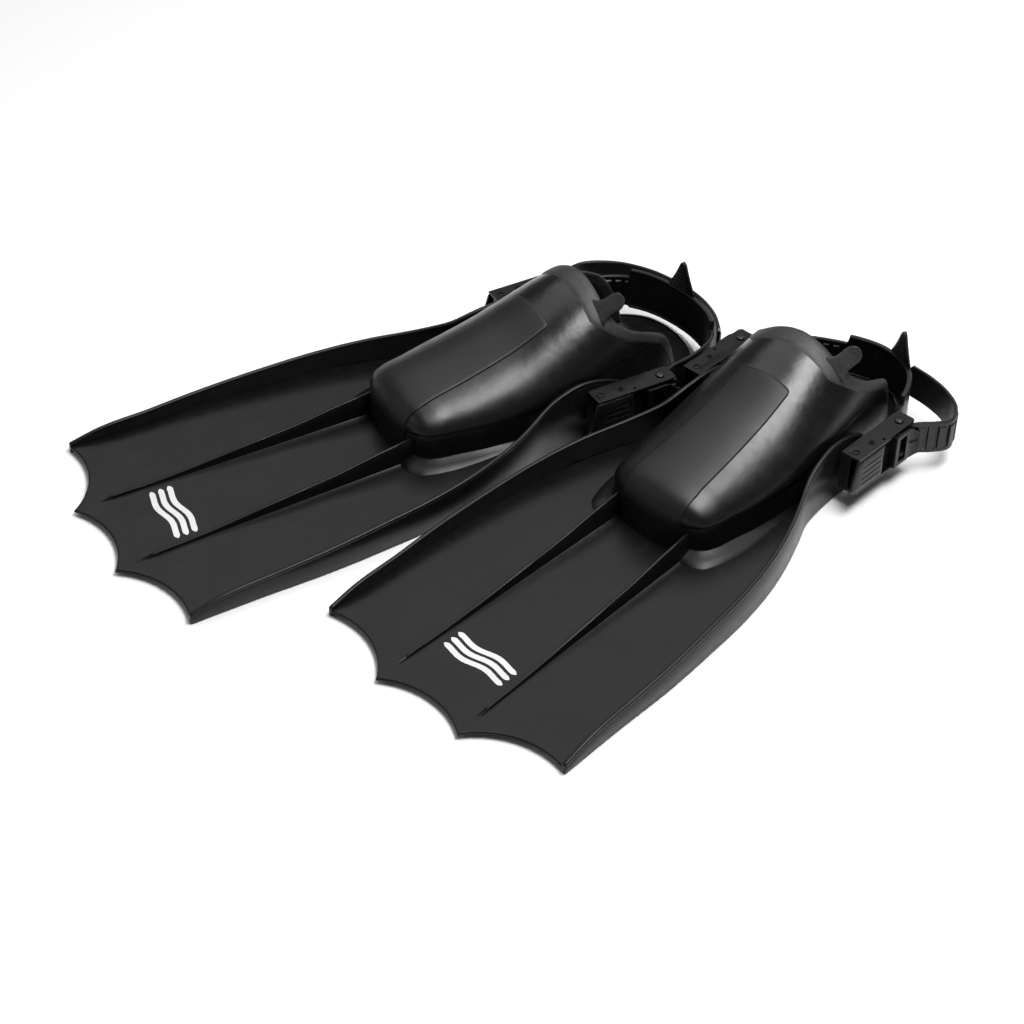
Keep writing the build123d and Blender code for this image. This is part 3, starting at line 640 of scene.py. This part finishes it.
def skin_point(column, key):
    """Point on the pocket's outside. Columns run up the +x wall, over the dome and down the -x wall."""
    y, _, crease, crease_z, crown = station(key)
    mirrored = SKIN_COLUMNS - 1 - column
    if min(column, mirrored) < WALL_POINTS:
        x, z = wall_profile(key, 1 if column < mirrored else -1)[min(column, mirrored)]
        return (x, y, z)
    angle = math.pi * (column - WALL_POINTS + 1) / (DOME_STEPS + 1)
    c, s = math.cos(angle), math.sin(angle)
    x = crease * math.copysign(abs(c) ** (2 / CROWN_POWER), c)
    z = crease_z + (crown - crease_z) * s ** (2 / CROWN_POWER)
    x += math.copysign(0.55 * lip_size(y, crease) * (1 - ease(s, 0.0, 0.22)), c)
    return (x, y, z)


def end_key(column, border):
    """Where a column of the skin meets a border given as y for each height."""
    def is_before(key):
        _, y, z = skin_point(column, key)
        return y < border(-z)

    return turning_point(key_at_y(PANEL_END), STATION_KEYS[-1], is_before)


def skin_rows():
    """Rows of keys: the pocket's rows end at the seam of the collar, and the collar's at the rim."""
    columns, split = range(SKIN_COLUMNS), key_at_y(300)
    front = [split * (k / 46) for k in range(47)]
    seams = [end_key(col, seam_y) for col in columns]
    rims = [end_key(col, rim_y) for col in columns]
    pocket = [[skin_point(col, key) for col in columns] for key in front]
    for k in range(1, 21):
        pocket.append([skin_point(col, mix(split, seams[col], k / 20)) for col in columns])
    collar = [[skin_point(col, mix(seams[col], rims[col], k / 8)) for col in columns]
              for k in range(9)]
    return pocket, collar


def offset_rows(rows, amount):
    """Moves a grid along its own normals by amount(row, column), outwards where columns run towards -x."""
    out = []
    for r, row in enumerate(rows):
        new = []
        for c, point in enumerate(row):
            before, after = rows[max(r - 1, 0)][c], rows[min(r + 1, len(rows) - 1)][c]
            left, right = row[max(c - 1, 0)], row[min(c + 1, len(row) - 1)]
            along = Vector(after) - Vector(before)
            across = Vector(right) - Vector(left)
            normal = along.cross(across)
            normal = normal.normalized() if normal.length > 1e-9 else Vector((0, -1, 0))
            new.append(tuple(Vector(point) + normal * amount(r, c)))
        out.append(new)
    return out


def toe_y(x):
    """Front of the toe at x."""
    key = turning_point(0.0, key_at_y(215), lambda key: station(key)[2] < abs(x))
    return station(key)[0]


def dome_z(x, y):
    """Height of the pocket's top at a place."""
    _, base, crease, crease_z, crown = station(key_at_y(y))
    share = clamp(abs(x) / crease, 0, 0.99999)
    return crease_z + (crown - crease_z) * (1 - share ** CROWN_POWER) ** (1 / CROWN_POWER)


def panel_half(y):
    """Half width of the panel, tapering to rounded rear corners."""
    taper = clamp((y - PANEL_TAPER_START) / (PANEL_END - PANEL_TAPER_START))
    half = mix(PANEL_TOE_HALF, PANEL_HEEL_HALF, taper)
    over = clamp(y - (PANEL_END - PANEL_CORNER), 0, PANEL_CORNER)
    return half - (PANEL_CORNER - math.sqrt(PANEL_CORNER ** 2 - over ** 2))


def panel_shape():
    """The raised matte panel: an apron up the toe wall, then over the nose and up the instep."""
    across = [share * PANEL_TOE_HALF for share in PANEL_SHARES]
    rows = [[(x, toe_y(x) - 0.001, z) for x in across] for z in PANEL_APRON]
    for back in PANEL_NOSE:
        places = [(x, mix(toe_y(x), TOE_FRONT, ease(back, 2, 20)) + back) for x in across]
        rows.append([(x, y, max(dome_z(x, y), PANEL_NOSE_LOW)) for x, y in places])
    last = TOE_FRONT + PANEL_NOSE[-1]
    for k in range(1, 31):
        y = mix(last, PANEL_END, 1 - (1 - k / 30) ** 1.25)
        half = panel_half(min(y, PANEL_END - 0.02))
        rows.append([(share * half, y, dome_z(share * half, y)) for share in PANEL_SHARES])
    edge = len(PANEL_SHARES) - 1

    def proud(r, c):
        """How far the panel stands out, tucked in along its sides and its rear end."""
        side = min(c, edge - c)
        drop = {0: -0.35, 1: 0.75, 2: 1.0}.get(side, 1.0)
        end = {0: -0.35, 1: 0.85}.get(len(rows) - 1 - r, 1.0)
        return -PANEL_PROUD * min(drop, end)

    top = offset_rows(rows, proud)
    bottom = offset_rows(rows, lambda r, c: 0.5)
    return Shape().slab(top, bottom)


def pocket_shape(rows):
    """The glossy upper as a closed skin, open at the rear."""
    inner = offset_rows(rows, lambda r, c: -SHELL)
    inner = [[(x, max(y, TOE_FRONT + 1.3), max(z, FOOT_Z)) for x, y, z in row] for row in inner]
    return Shape().slab(rows, inner)


def collar_shape(rows):
    """The matte collar, slightly proud of the upper and rounded at its rim."""
    last = len(rows) - 1
    swell = [0.05, 0.5, 0.6, 0.6, 0.6, 0.6, 0.55, 0.35, -0.5]
    outer = offset_rows(rows, lambda r, c: swell[r])
    inner = offset_rows(rows, lambda r, c: -2.9 if r < last else -2.2)
    return Shape().slab(outer, inner)


def collar_tab_shape():
    """The rounded pull tab growing from the collar's rim."""
    roll = Matrix.Rotation(math.radians(TAB_ROLL), 4, "Y")
    lean = Matrix.Rotation(math.radians(TAB_LEAN), 4, "X")
    place = Matrix.Translation(TAB_BASE) @ roll @ lean
    rows_top, rows_low = [], []
    for along_tab in TAB_ROWS:
        round_end = clamp(along_tab - (TAB_LONG - TAB_HALF), 0, TAB_HALF)
        flare = 3.6 * clamp((3.5 - along_tab) / 7) ** 2
        half = math.sqrt(max(TAB_HALF ** 2 - round_end ** 2, 0.0)) + flare
        bend = 0.012 * (along_tab + 4) ** 2 - 0.6 - 1.6 * clamp((3.0 - along_tab) / 8) ** 1.5
        top, low = [], []
        for share in (-1, -0.96, -0.86, -0.6, -0.3, 0, 0.3, 0.6, 0.86, 0.96, 1):
            edge = math.sqrt(max(0.0, 1 - share ** 6))
            thick = TAB_THICK / 2 * (0.25 + 0.75 * edge) * (0.5 if along_tab > 16.9 else 1)
            top.append(place @ Vector((share * half, along_tab, bend + thick)))
            low.append(place @ Vector((share * half, along_tab, bend - thick)))
        rows_top.append(top)
        rows_low.append(low)
    return Shape().slab(rows_top, rows_low)


# ==== buckle details
def lathe(x, y, profile, shape=None):
    """A turned piece standing on z, from (radius, z) pairs, added to a shape if one is given."""
    turn = [math.pi * k / 16 for k in range(32)]
    rings = [[(x + radius * math.cos(a), y + radius * math.sin(a), z) for a in turn] for radius, z in profile]
    return (shape or Shape()).tube(rings)


def cups_shape():
    """Raised rims round the dimple and round the lever pin in the upper cheek."""
    shape, top = Shape(), BUCKLE_HIGH
    for x, y, deep in ((DIMPLE_X, DIMPLE_Y, 0.75), (LEVER_PIN_X, LEVER_PIN_Y, 1.2)):
        profile = [(0.3, top - deep - 0.2), (2.7, top - deep - 0.2), (2.75, top + 0.2), (2.6, top + 0.36),
                   (2.3, top + 0.36), (2.1, top + 0.1), (1.9, top - deep + 0.15), (1.5, top - deep),
                   (0.3, top - deep)]
        lathe(x, y, profile, shape=shape)
    return shape


def lever_pin_shape():
    """The lever's pin, a little below the face of each cheek."""
    low, high = BUCKLE_LOW + 0.5, BUCKLE_HIGH - 1.5
    return lathe(LEVER_PIN_X, LEVER_PIN_Y, [(1.1, low), (1.5, low + 0.4), (1.5, high - 0.4), (1.1, high)])


def rivet_shape():
    """Axle of the roller with a domed head over the top cheek."""
    top = BUCKLE_HIGH
    profile = [(1.2, BUCKLE_LOW), (1.5, BUCKLE_LOW + 0.3), (1.5, top + 0.05), (3.3, top + 0.05),
               (3.35, top + 0.5), (3.2, top + 0.95), (2.8, top + 1.25), (2.2, top + 1.42),
               (1.5, top + 1.5), (1.35, top + 1.35), (0.4, top + 1.33)]
    return lathe(ROLLER_X, ROLLER_Y, profile)


def box_shape(shape, low, high):
    """Adds a closed block between two corners."""
    (x0, y0, z0), (x1, y1, z1) = low, high
    return shape.slab([[(x0, y0, z1), (x1, y0, z1)], [(x0, y1, z1), (x1, y1, z1)]],
                      [[(x0, y0, z0), (x1, y0, z0)], [(x0, y1, z0), (x1, y1, z0)]])


def thumb_plate_shape():
    """The lever's thumb plate with its raked, rounded front edge and four sunk grooves."""
    low, high = LEVER_LOW, LEVER_HIGH
    levels = [low, low + 0.35, low + 1.2, high - 1.2, high - 0.35, high]
    levels[3:3] = repeated(low + GROOVE_LOW, GROOVE_PITCH, GROOVES, (0, 0.25, 0.75, 1.0))
    outer, inner = [], []
    for z in levels:
        rise = (z - low) / (high - low)
        corner = 3.0 * (1 - clamp(rise / 0.22)) ** 2
        front = BUCKLE_FRONT - 7.2 + 6.6 * rise ** 1.3 + corner
        stops = [front, front + 0.4, front + 1.4, GROOVE_FRONT, GROOVE_FRONT + 0.5, 342.0,
                 GROOVE_REAR - 0.5, GROOVE_REAR, 355.2, 356.0]
        into = (z - low - GROOVE_LOW) % GROOVE_PITCH
        in_groove = 0.2 < into < 0.8 and GROOVE_LOW < z - low < GROOVE_LOW + GROOVE_PITCH * GROOVES
        edge = 0.9 * (1 - clamp(min(z - low, high - z) / 1.2)) ** 2
        row_out, row_in = [], []
        for k, y in enumerate(stops):
            nose = {0: 1.3, 1: 0.55, 2: 0.08, 9: 0.4}.get(k, 0.0)
            cut = GROOVE_DEEP if in_groove and GROOVE_FRONT + 0.2 < y < GROOVE_REAR - 0.3 else 0.0
            row_out.append((LEVER_OUT - nose - cut - edge, y, z))
            row_in.append((LEVER_OUT - LEVER_THICK, y, z))
        outer.append(row_out)
        inner.append(row_in)
    return Shape().slab(outer, inner)


def add_jaw(shape):
    """Behind the thumb plate: web, bar, the frame round the window and the curved strap guide."""
    low, high = LEVER_LOW, LEVER_HIGH
    face = (JAW_OUT - JAW_THICK, JAW_OUT)
    for (inside, outside), front, under, rear, over in (
            ((72.6, 75.0), 349, low, 368.6, high), ((72.8, 81.0), 367.2, low, 369.6, high),
            (face, 367.6, low, 371.4, high), (face, 379.4, low, 382.6, high),
            (face, 371.0, low, 379.8, low + 3.0), (face, 371.0, high - 3.0, 379.8, high)):
        box_shape(shape, (inside, front, under), (outside, rear, over))
    outer, inner = [], []
    for k in range(13):
        share = k / 12
        y = mix(382.2, 391.5, share)
        x = JAW_OUT - 0.1 + 2.6 * share ** 2.1
        top = mix(high, high - 4.5, ease(share, 0.1, 1))
        bottom = mix(low, low + 1.5, ease(share, 0.4, 1))
        middle = mix(low, high, 0.52)
        levels = [bottom, bottom + 0.5, mix(bottom, middle, 0.5), middle - 0.5, middle + 0.1, top - 2.6,
                  top - 2.0, top - 0.5, top]
        hollow = 0.9 * ease(share, 0.06, 0.2) * (1 - ease(share, 0.86, 0.97))
        sink = [0.4, 0, 0, 0, hollow, hollow, 0, 0, 0.4]
        outer.append([(x - s, y, z) for s, z in zip(sink, levels)])
        inner.append([(x - 1.5, y + 0.3 * share, z) for z in levels])
    shape.slab(outer, inner)


def lever_shape():
    """The whole release lever on its hub."""
    shape = thumb_plate_shape()
    low, high = LEVER_LOW, LEVER_HIGH
    hub = [(1.6, low), (2.9, low), (3.2, low + 0.3), (3.2, high - 0.3), (2.9, high), (1.6, high)]
    lathe(LEVER_PIN_X, LEVER_PIN_Y, hub, shape=shape)
    add_jaw(shape)
    return box_shape(shape, (72.2, 345.9, low + 0.02), (77.4, 352.1, high - 0.02))


# ==== heel strap
def strap_path(fin):
    """The strap's centre line as a function of the distance along it, and the distances of its points."""
    near, far = ROLLER_X - WRAP, ROLLER_X + WRAP
    left_tail, right_tail = STRAP_TAIL[fin]

    def round_roller(centre):
        turn = [math.pi + math.pi * k / 6 for k in range(1, 6)]
        return [(centre + WRAP * math.cos(a), ROLLER_Y + WRAP * math.sin(a)) for a in turn]

    points = [(-x, y) for x, y in reversed(left_tail)] + [(-far, ROLLER_Y)]
    points += round_roller(-ROLLER_X) + [(-near, ROLLER_Y), (-near + 0.2, ROLLER_Y + 6)]
    points += STRAP_LOOP[fin]
    points += [(near - 0.2, ROLLER_Y + 6), (near, ROLLER_Y)] + round_roller(ROLLER_X)
    points += [(far, ROLLER_Y)] + right_tail
    keys = lengths(points)
    return spline(points, keys), keys


def heel_middle(path, total, fin):
    """Distance along the strap at which the heel tab stands."""
    samples = [total * k / 600 for k in range(601)]
    loop = [s for s in samples if path(s)[1] > 415 and abs(path(s)[0] - HEEL_TAB_X[fin]) < 3]
    facing = [s for s in loop if path(s + 1)[0] > path(s - 1)[0]]
    return sum(facing) / len(facing)


def strap_stops(total, middle):
    """(distance along, tooth height) of every section: five for each tooth and six for the band's ends."""
    teeth = int(total / TOOTH_PITCH)
    stops = [(k * total / teeth + step, high) for k in range(teeth) for step, high in TOOTH]
    stops.append((total, 0.0))
    stops += [(middle + side * (BAND_HALF + step), 0.0) for side in (-1, 1) for step in (-0.8, 0.0, 0.8)]
    return sorted(stops)


def strap_section(s, tooth, total, middle):
    """The strap's outline at one place, as (outwards, z), with the teeth between two borders."""
    wide = 1 - ease(abs(s - middle), BAND_HALF - 0.8, BAND_HALF + 0.8)
    end = clamp(min(s, total - s) / 2.0)
    half = mix(STRAP_THICK, BAND_THICK, wide) / 2 * (0.55 + 0.45 * math.sqrt(end))
    curl = (1 - math.sqrt(end)) * 3
    low, high = mix(STRAP_LOW, BAND_LOW, wide) + curl, mix(STRAP_HIGH, BAND_HIGH, wide) - curl
    border = mix(3.6, 2.4, wide)
    recess = half - mix(0.55, 0.5, wide)
    face = recess + TOOTH_DEEP * tooth * (1 - wide) * end
    slit = recess if tooth else recess - 0.5 * (1 - wide)
    floor = face if tooth else slit
    return [(half - 0.5, low), (half, low + 0.5), (half, low + border - 0.4),
            (min(half, face), low + border), (max(face, slit), low + border + 0.7),
            (floor, mix(low, high, 0.36)), (floor, mix(low, high, 0.64)),
            (max(face, slit), high - border - 0.7), (min(half, face), high - border),
            (half, high - border + 0.4), (half, high - 0.5), (half - 0.5, high),
            (0.5 - half, high), (-half, high - 0.5), (-half, mix(low, high, 0.75)),
            (-half, mix(low, high, 0.25)), (-half, low + 0.5), (0.5 - half, low)]


def strap_shape(fin):
    """The strap, with the place and direction of the heel band's middle."""
    path, keys = strap_path(fin)
    total = keys[-1]
    middle = heel_middle(path, total, fin)
    rings = []
    for s, tooth in strap_stops(total, middle):
        x, y = path(s)
        ahead, behind = path(min(s + 0.5, total)), path(max(s - 0.5, 0.0))
        way = Vector((ahead[0] - behind[0], ahead[1] - behind[1])).normalized()
        section = strap_section(s, tooth, total, middle)
        rings.append([(x + way.y * out, y - way.x * out, z) for out, z in section])
    at, ahead = path(middle), path(middle + 1)
    way = Vector((ahead[0] - at[0], ahead[1] - at[1], 0)).normalized()
    return Shape().tube(rings), Vector((at[0], at[1], 0)), way


def heel_tab_shape(at, way):
    """The triangular pull tab over the heel band, with raised cross ribs and a thick edge."""
    out_way = Vector((way.y, -way.x, 0))
    stops = [-3.0, -1.0, 22.2, 23.0, 23.6, HEEL_TAB_HIGH]
    stops[2:2] = repeated(HEEL_RIB_LOW, HEEL_RIB_PITCH, HEEL_TAB_RIBS, (0, 0.45, 1.35, 1.8))
    shares = [-1, -0.93, -0.8, -0.4, 0, 0.4, 0.62, 0.7, 0.8, 0.93, 1]
    front, back = [], []
    for high in stops:
        share = clamp(high / HEEL_TAB_HIGH)
        half = mix(HEEL_TAB_HALF, HEEL_TAB_TIP, share) - 3.0 * share * (1 - share)
        half *= math.sqrt(clamp((HEEL_TAB_HIGH + 0.3 - high) / 2.4, 0.1, 1))
        into = (high - HEEL_RIB_LOW) % HEEL_RIB_PITCH
        on_rib = 0.4 < into < 1.4 and HEEL_RIB_LOW < high < HEEL_RIB_LOW + HEEL_RIB_PITCH * HEEL_TAB_RIBS
        front_row, back_row = [], []
        for s in shares:
            thin = 0.4 + 0.6 * math.sqrt(max(0.0, 1 - abs(s) ** 8))
            thick = HEEL_TAB_THICK / 2 - 0.35
            raised = 0.55 if s >= 0.8 else 0.5 if on_rib and -0.85 < s < 0.65 else 0.0
            centre = at + way * (s * half) + Vector((0, 0, BAND_HIGH + high))
            front_row.append(centre + out_way * ((thick + raised) * thin))
            back_row.append(centre - out_way * (thick * thin))
        front.append(front_row)
        back.append(back_row)
    return Shape().slab(front, back)


# ==== the printed mark
def mark_shape():
    """Three stacked wavy bars printed on the blade, a plain decoration."""
    shape = Shape()
    for bar in range(MARK_BARS):
        rows_top, rows_low = [], []
        for k in range(MARK_STEPS + 1):
            x = mix(-MARK_HALF_LONG, MARK_HALF_LONG, k / MARK_STEPS)
            wave = MARK_WAVE * math.sin(x / MARK_HALF_LONG * math.pi * 1.5)
            y = MARK_LOW + MARK_PITCH * bar + MARK_HALF_BAR + wave
            half = MARK_HALF_BAR * math.sqrt(clamp(min(k, MARK_STEPS - k) / 2.0, 0.05, 1))
            row = [(x, y + share * half) for share in (-1, -0.5, 0, 0.5, 1)]
            rows_top.append([(px, py, blade_top(py) + 0.06) for px, py in row])
            rows_low.append([(px, py, blade_top(py) - 0.1) for px, py in row])
        shape.slab(rows_top, rows_low)
    return shape


# ==== assembly
def build_middle(fin):
    """The pieces that a fin has once, between its two sides."""
    pocket, collar = skin_rows()
    strap, at, way = strap_shape(fin)
    body, strap_body = f"{fin}_fin", f"{fin}_strap"
    for name, shape, owner, slot, node, sharp, look in (
            ("blade_detail", blade_shape(), body, "blade_plastic", "blade", 50, None),
            ("sole_detail", tray_shape(), body, "blade_plastic", "blade", 35, None),
            ("mark", mark_shape(), body, "blade_plastic", "blade", 38, "mark_print"),
            ("pocket_detail", pocket_shape(pocket), body, "pocket_rubber", "foot_pocket", 42, None),
            ("panel_detail", panel_shape(), body, "panel_rubber", "instep_panel", 50, None),
            ("collar_detail", collar_shape(collar), body, "collar_rubber", "ankle_collar", 50, None),
            ("collar_tab_detail", collar_tab_shape(), body, "collar_rubber", "ankle_collar", 60, None),
            ("strap_detail", strap, strap_body, "strap_rubber", "heel_strap", 35, None),
            ("heel_tab_detail", heel_tab_shape(at, way), strap_body, "strap_rubber", "heel_strap", 40,
             None)):
        make_piece(shape, f"{fin}_{name}", fin, owner, slot, f"{fin}_{node}", sharp=sharp, look=look)


def build_side(fin, where):
    """The rail and the buckle of one side of a fin."""
    side, strap_body, start = side_of(fin, where), f"{fin}_strap", f"{fin}_{where}"
    for name, shape, owner, slot, node, sharp, bevel in (
            ("rail_detail", rail_shape(), f"{fin}_fin", "rail_rubber", "rail", 50, 0),
            ("cheek_rims", cups_shape(), strap_body, "buckle_plastic", "buckle_frame", 45, 0),
            ("release_lever_detail", lever_shape(), f"{start}_lever", "buckle_plastic", "release_lever",
             38, 0.25),
            ("lever_pin_detail", lever_pin_shape(), strap_body, "pin_steel", "lever_pin", 38, 0),
            ("roller_pin_detail", rivet_shape(), strap_body, "rivet_plastic", "roller_pin", 38, 0)):
        make_piece(shape, f"{start}_{name}", fin, owner, slot, f"{start}_{node}", side,
                   sharp=sharp, bevel=bevel)
    for node, owner, slot, bevel in (
            ("anchor_stud", f"{fin}_fin", "buckle_plastic", 0.5),
            ("buckle_frame", strap_body, "buckle_plastic", 0.45),
            ("lever_spring", strap_body, "spring_steel", 0.1),
            ("strap_roller", f"{start}_roller", "roller_plastic", 0.2)):
        piece_from_cad(f"{start}_{node}", owner, slot, bevel)


for fin in ("left", "right"):
    build_middle(fin)
    for where in ("outer", "inner"):
        build_side(fin, where)


# ==== stage
CAMERA_AZIMUTH, CAMERA_ELEVATION, CAMERA_ROLL = 50.91, 39.684, 1.085
CAMERA_LENS, CAMERA_DISTANCE = 85.94, 1.6890
CAMERA_TARGET = (0.01564, -0.02635, 0.0021)
# azimuth, elevation, distance, width, height, radiance
LIGHTS = {
    "overhead": (225, 62, 2.2, 2.8, 2.2, 1.45),
    "softbox": (118, 72, 1.7, 1.0, 0.62, 15.0),
    "front_fill": (330, 30, 2.4, 1.8, 0.9, 0.7),
}
WORLD_STRENGTH = 0.11


def make_floor():
    """A plain pale floor just under the soles."""
    size, low = 6.0, -0.0006
    mesh = bpy.data.meshes.new("floor")
    corners = [(-size, -size, low), (size, -size, low), (size, size, low), (-size, size, low)]
    mesh.from_pydata(corners, [], [(0, 1, 2, 3)])
    material, shader = new_material("floor")
    shader.inputs["Base Color"].default_value = (0.9, 0.9, 0.9, 1)
    shader.inputs["Roughness"].default_value = 0.9
    shader.inputs["Specular IOR Level"].default_value = 0.0
    mesh.materials.append(material)
    add_object("floor", mesh)


def direction(azimuth, elevation):
    """Unit vector from the object to a place in the round; azimuth 0 stands on the -Y side."""
    a, e = math.radians(azimuth), math.radians(elevation)
    return Vector((math.sin(a) * math.cos(e), -math.cos(a) * math.cos(e), math.sin(e)))


def area_light(name, azimuth, elevation, distance, width, height, radiance):
    """A soft rectangular light aimed at the object."""
    way = direction(azimuth, elevation)
    data = bpy.data.lights.new(name, "AREA")
    data.shape, data.size, data.size_y = "RECTANGLE", width, height
    data.energy = radiance * math.pi * width * height
    light = add_object(name, data)
    light.location = way * distance
    light.rotation_mode = "QUATERNION"
    light.rotation_quaternion = way.to_track_quat("Z", "Y")


def make_camera():
    """The photo's viewpoint: in front and to the right, looking down at the pair."""
    roll = math.radians(CAMERA_ROLL)
    back = direction(CAMERA_AZIMUTH, CAMERA_ELEVATION)
    level = direction(CAMERA_AZIMUTH + 90, 0)
    upright = back.cross(level)
    right = level * math.cos(roll) + upright * math.sin(roll)
    up = upright * math.cos(roll) - level * math.sin(roll)
    data = bpy.data.cameras.new("camera")
    data.sensor_width, data.lens = 36.0, CAMERA_LENS
    camera = add_object("camera", data)
    place = Matrix((right, up, back)).transposed().to_4x4()
    place.translation = Vector(CAMERA_TARGET) + back * CAMERA_DISTANCE
    camera.matrix_world = place
    bpy.context.scene.camera = camera


def make_world():
    """Plain white surroundings, faint beside the lights."""
    world = bpy.data.worlds.new("world")
    world.use_nodes = True
    background = world.node_tree.nodes["Background"]
    background.inputs["Color"].default_value = (1, 1, 1, 1)
    background.inputs["Strength"].default_value = WORLD_STRENGTH
    bpy.context.scene.world = world
    bpy.context.scene.view_settings.view_transform = "Standard"


make_floor()
for name, setting in LIGHTS.items():
    area_light(name, *setting)
make_world()
make_camera()
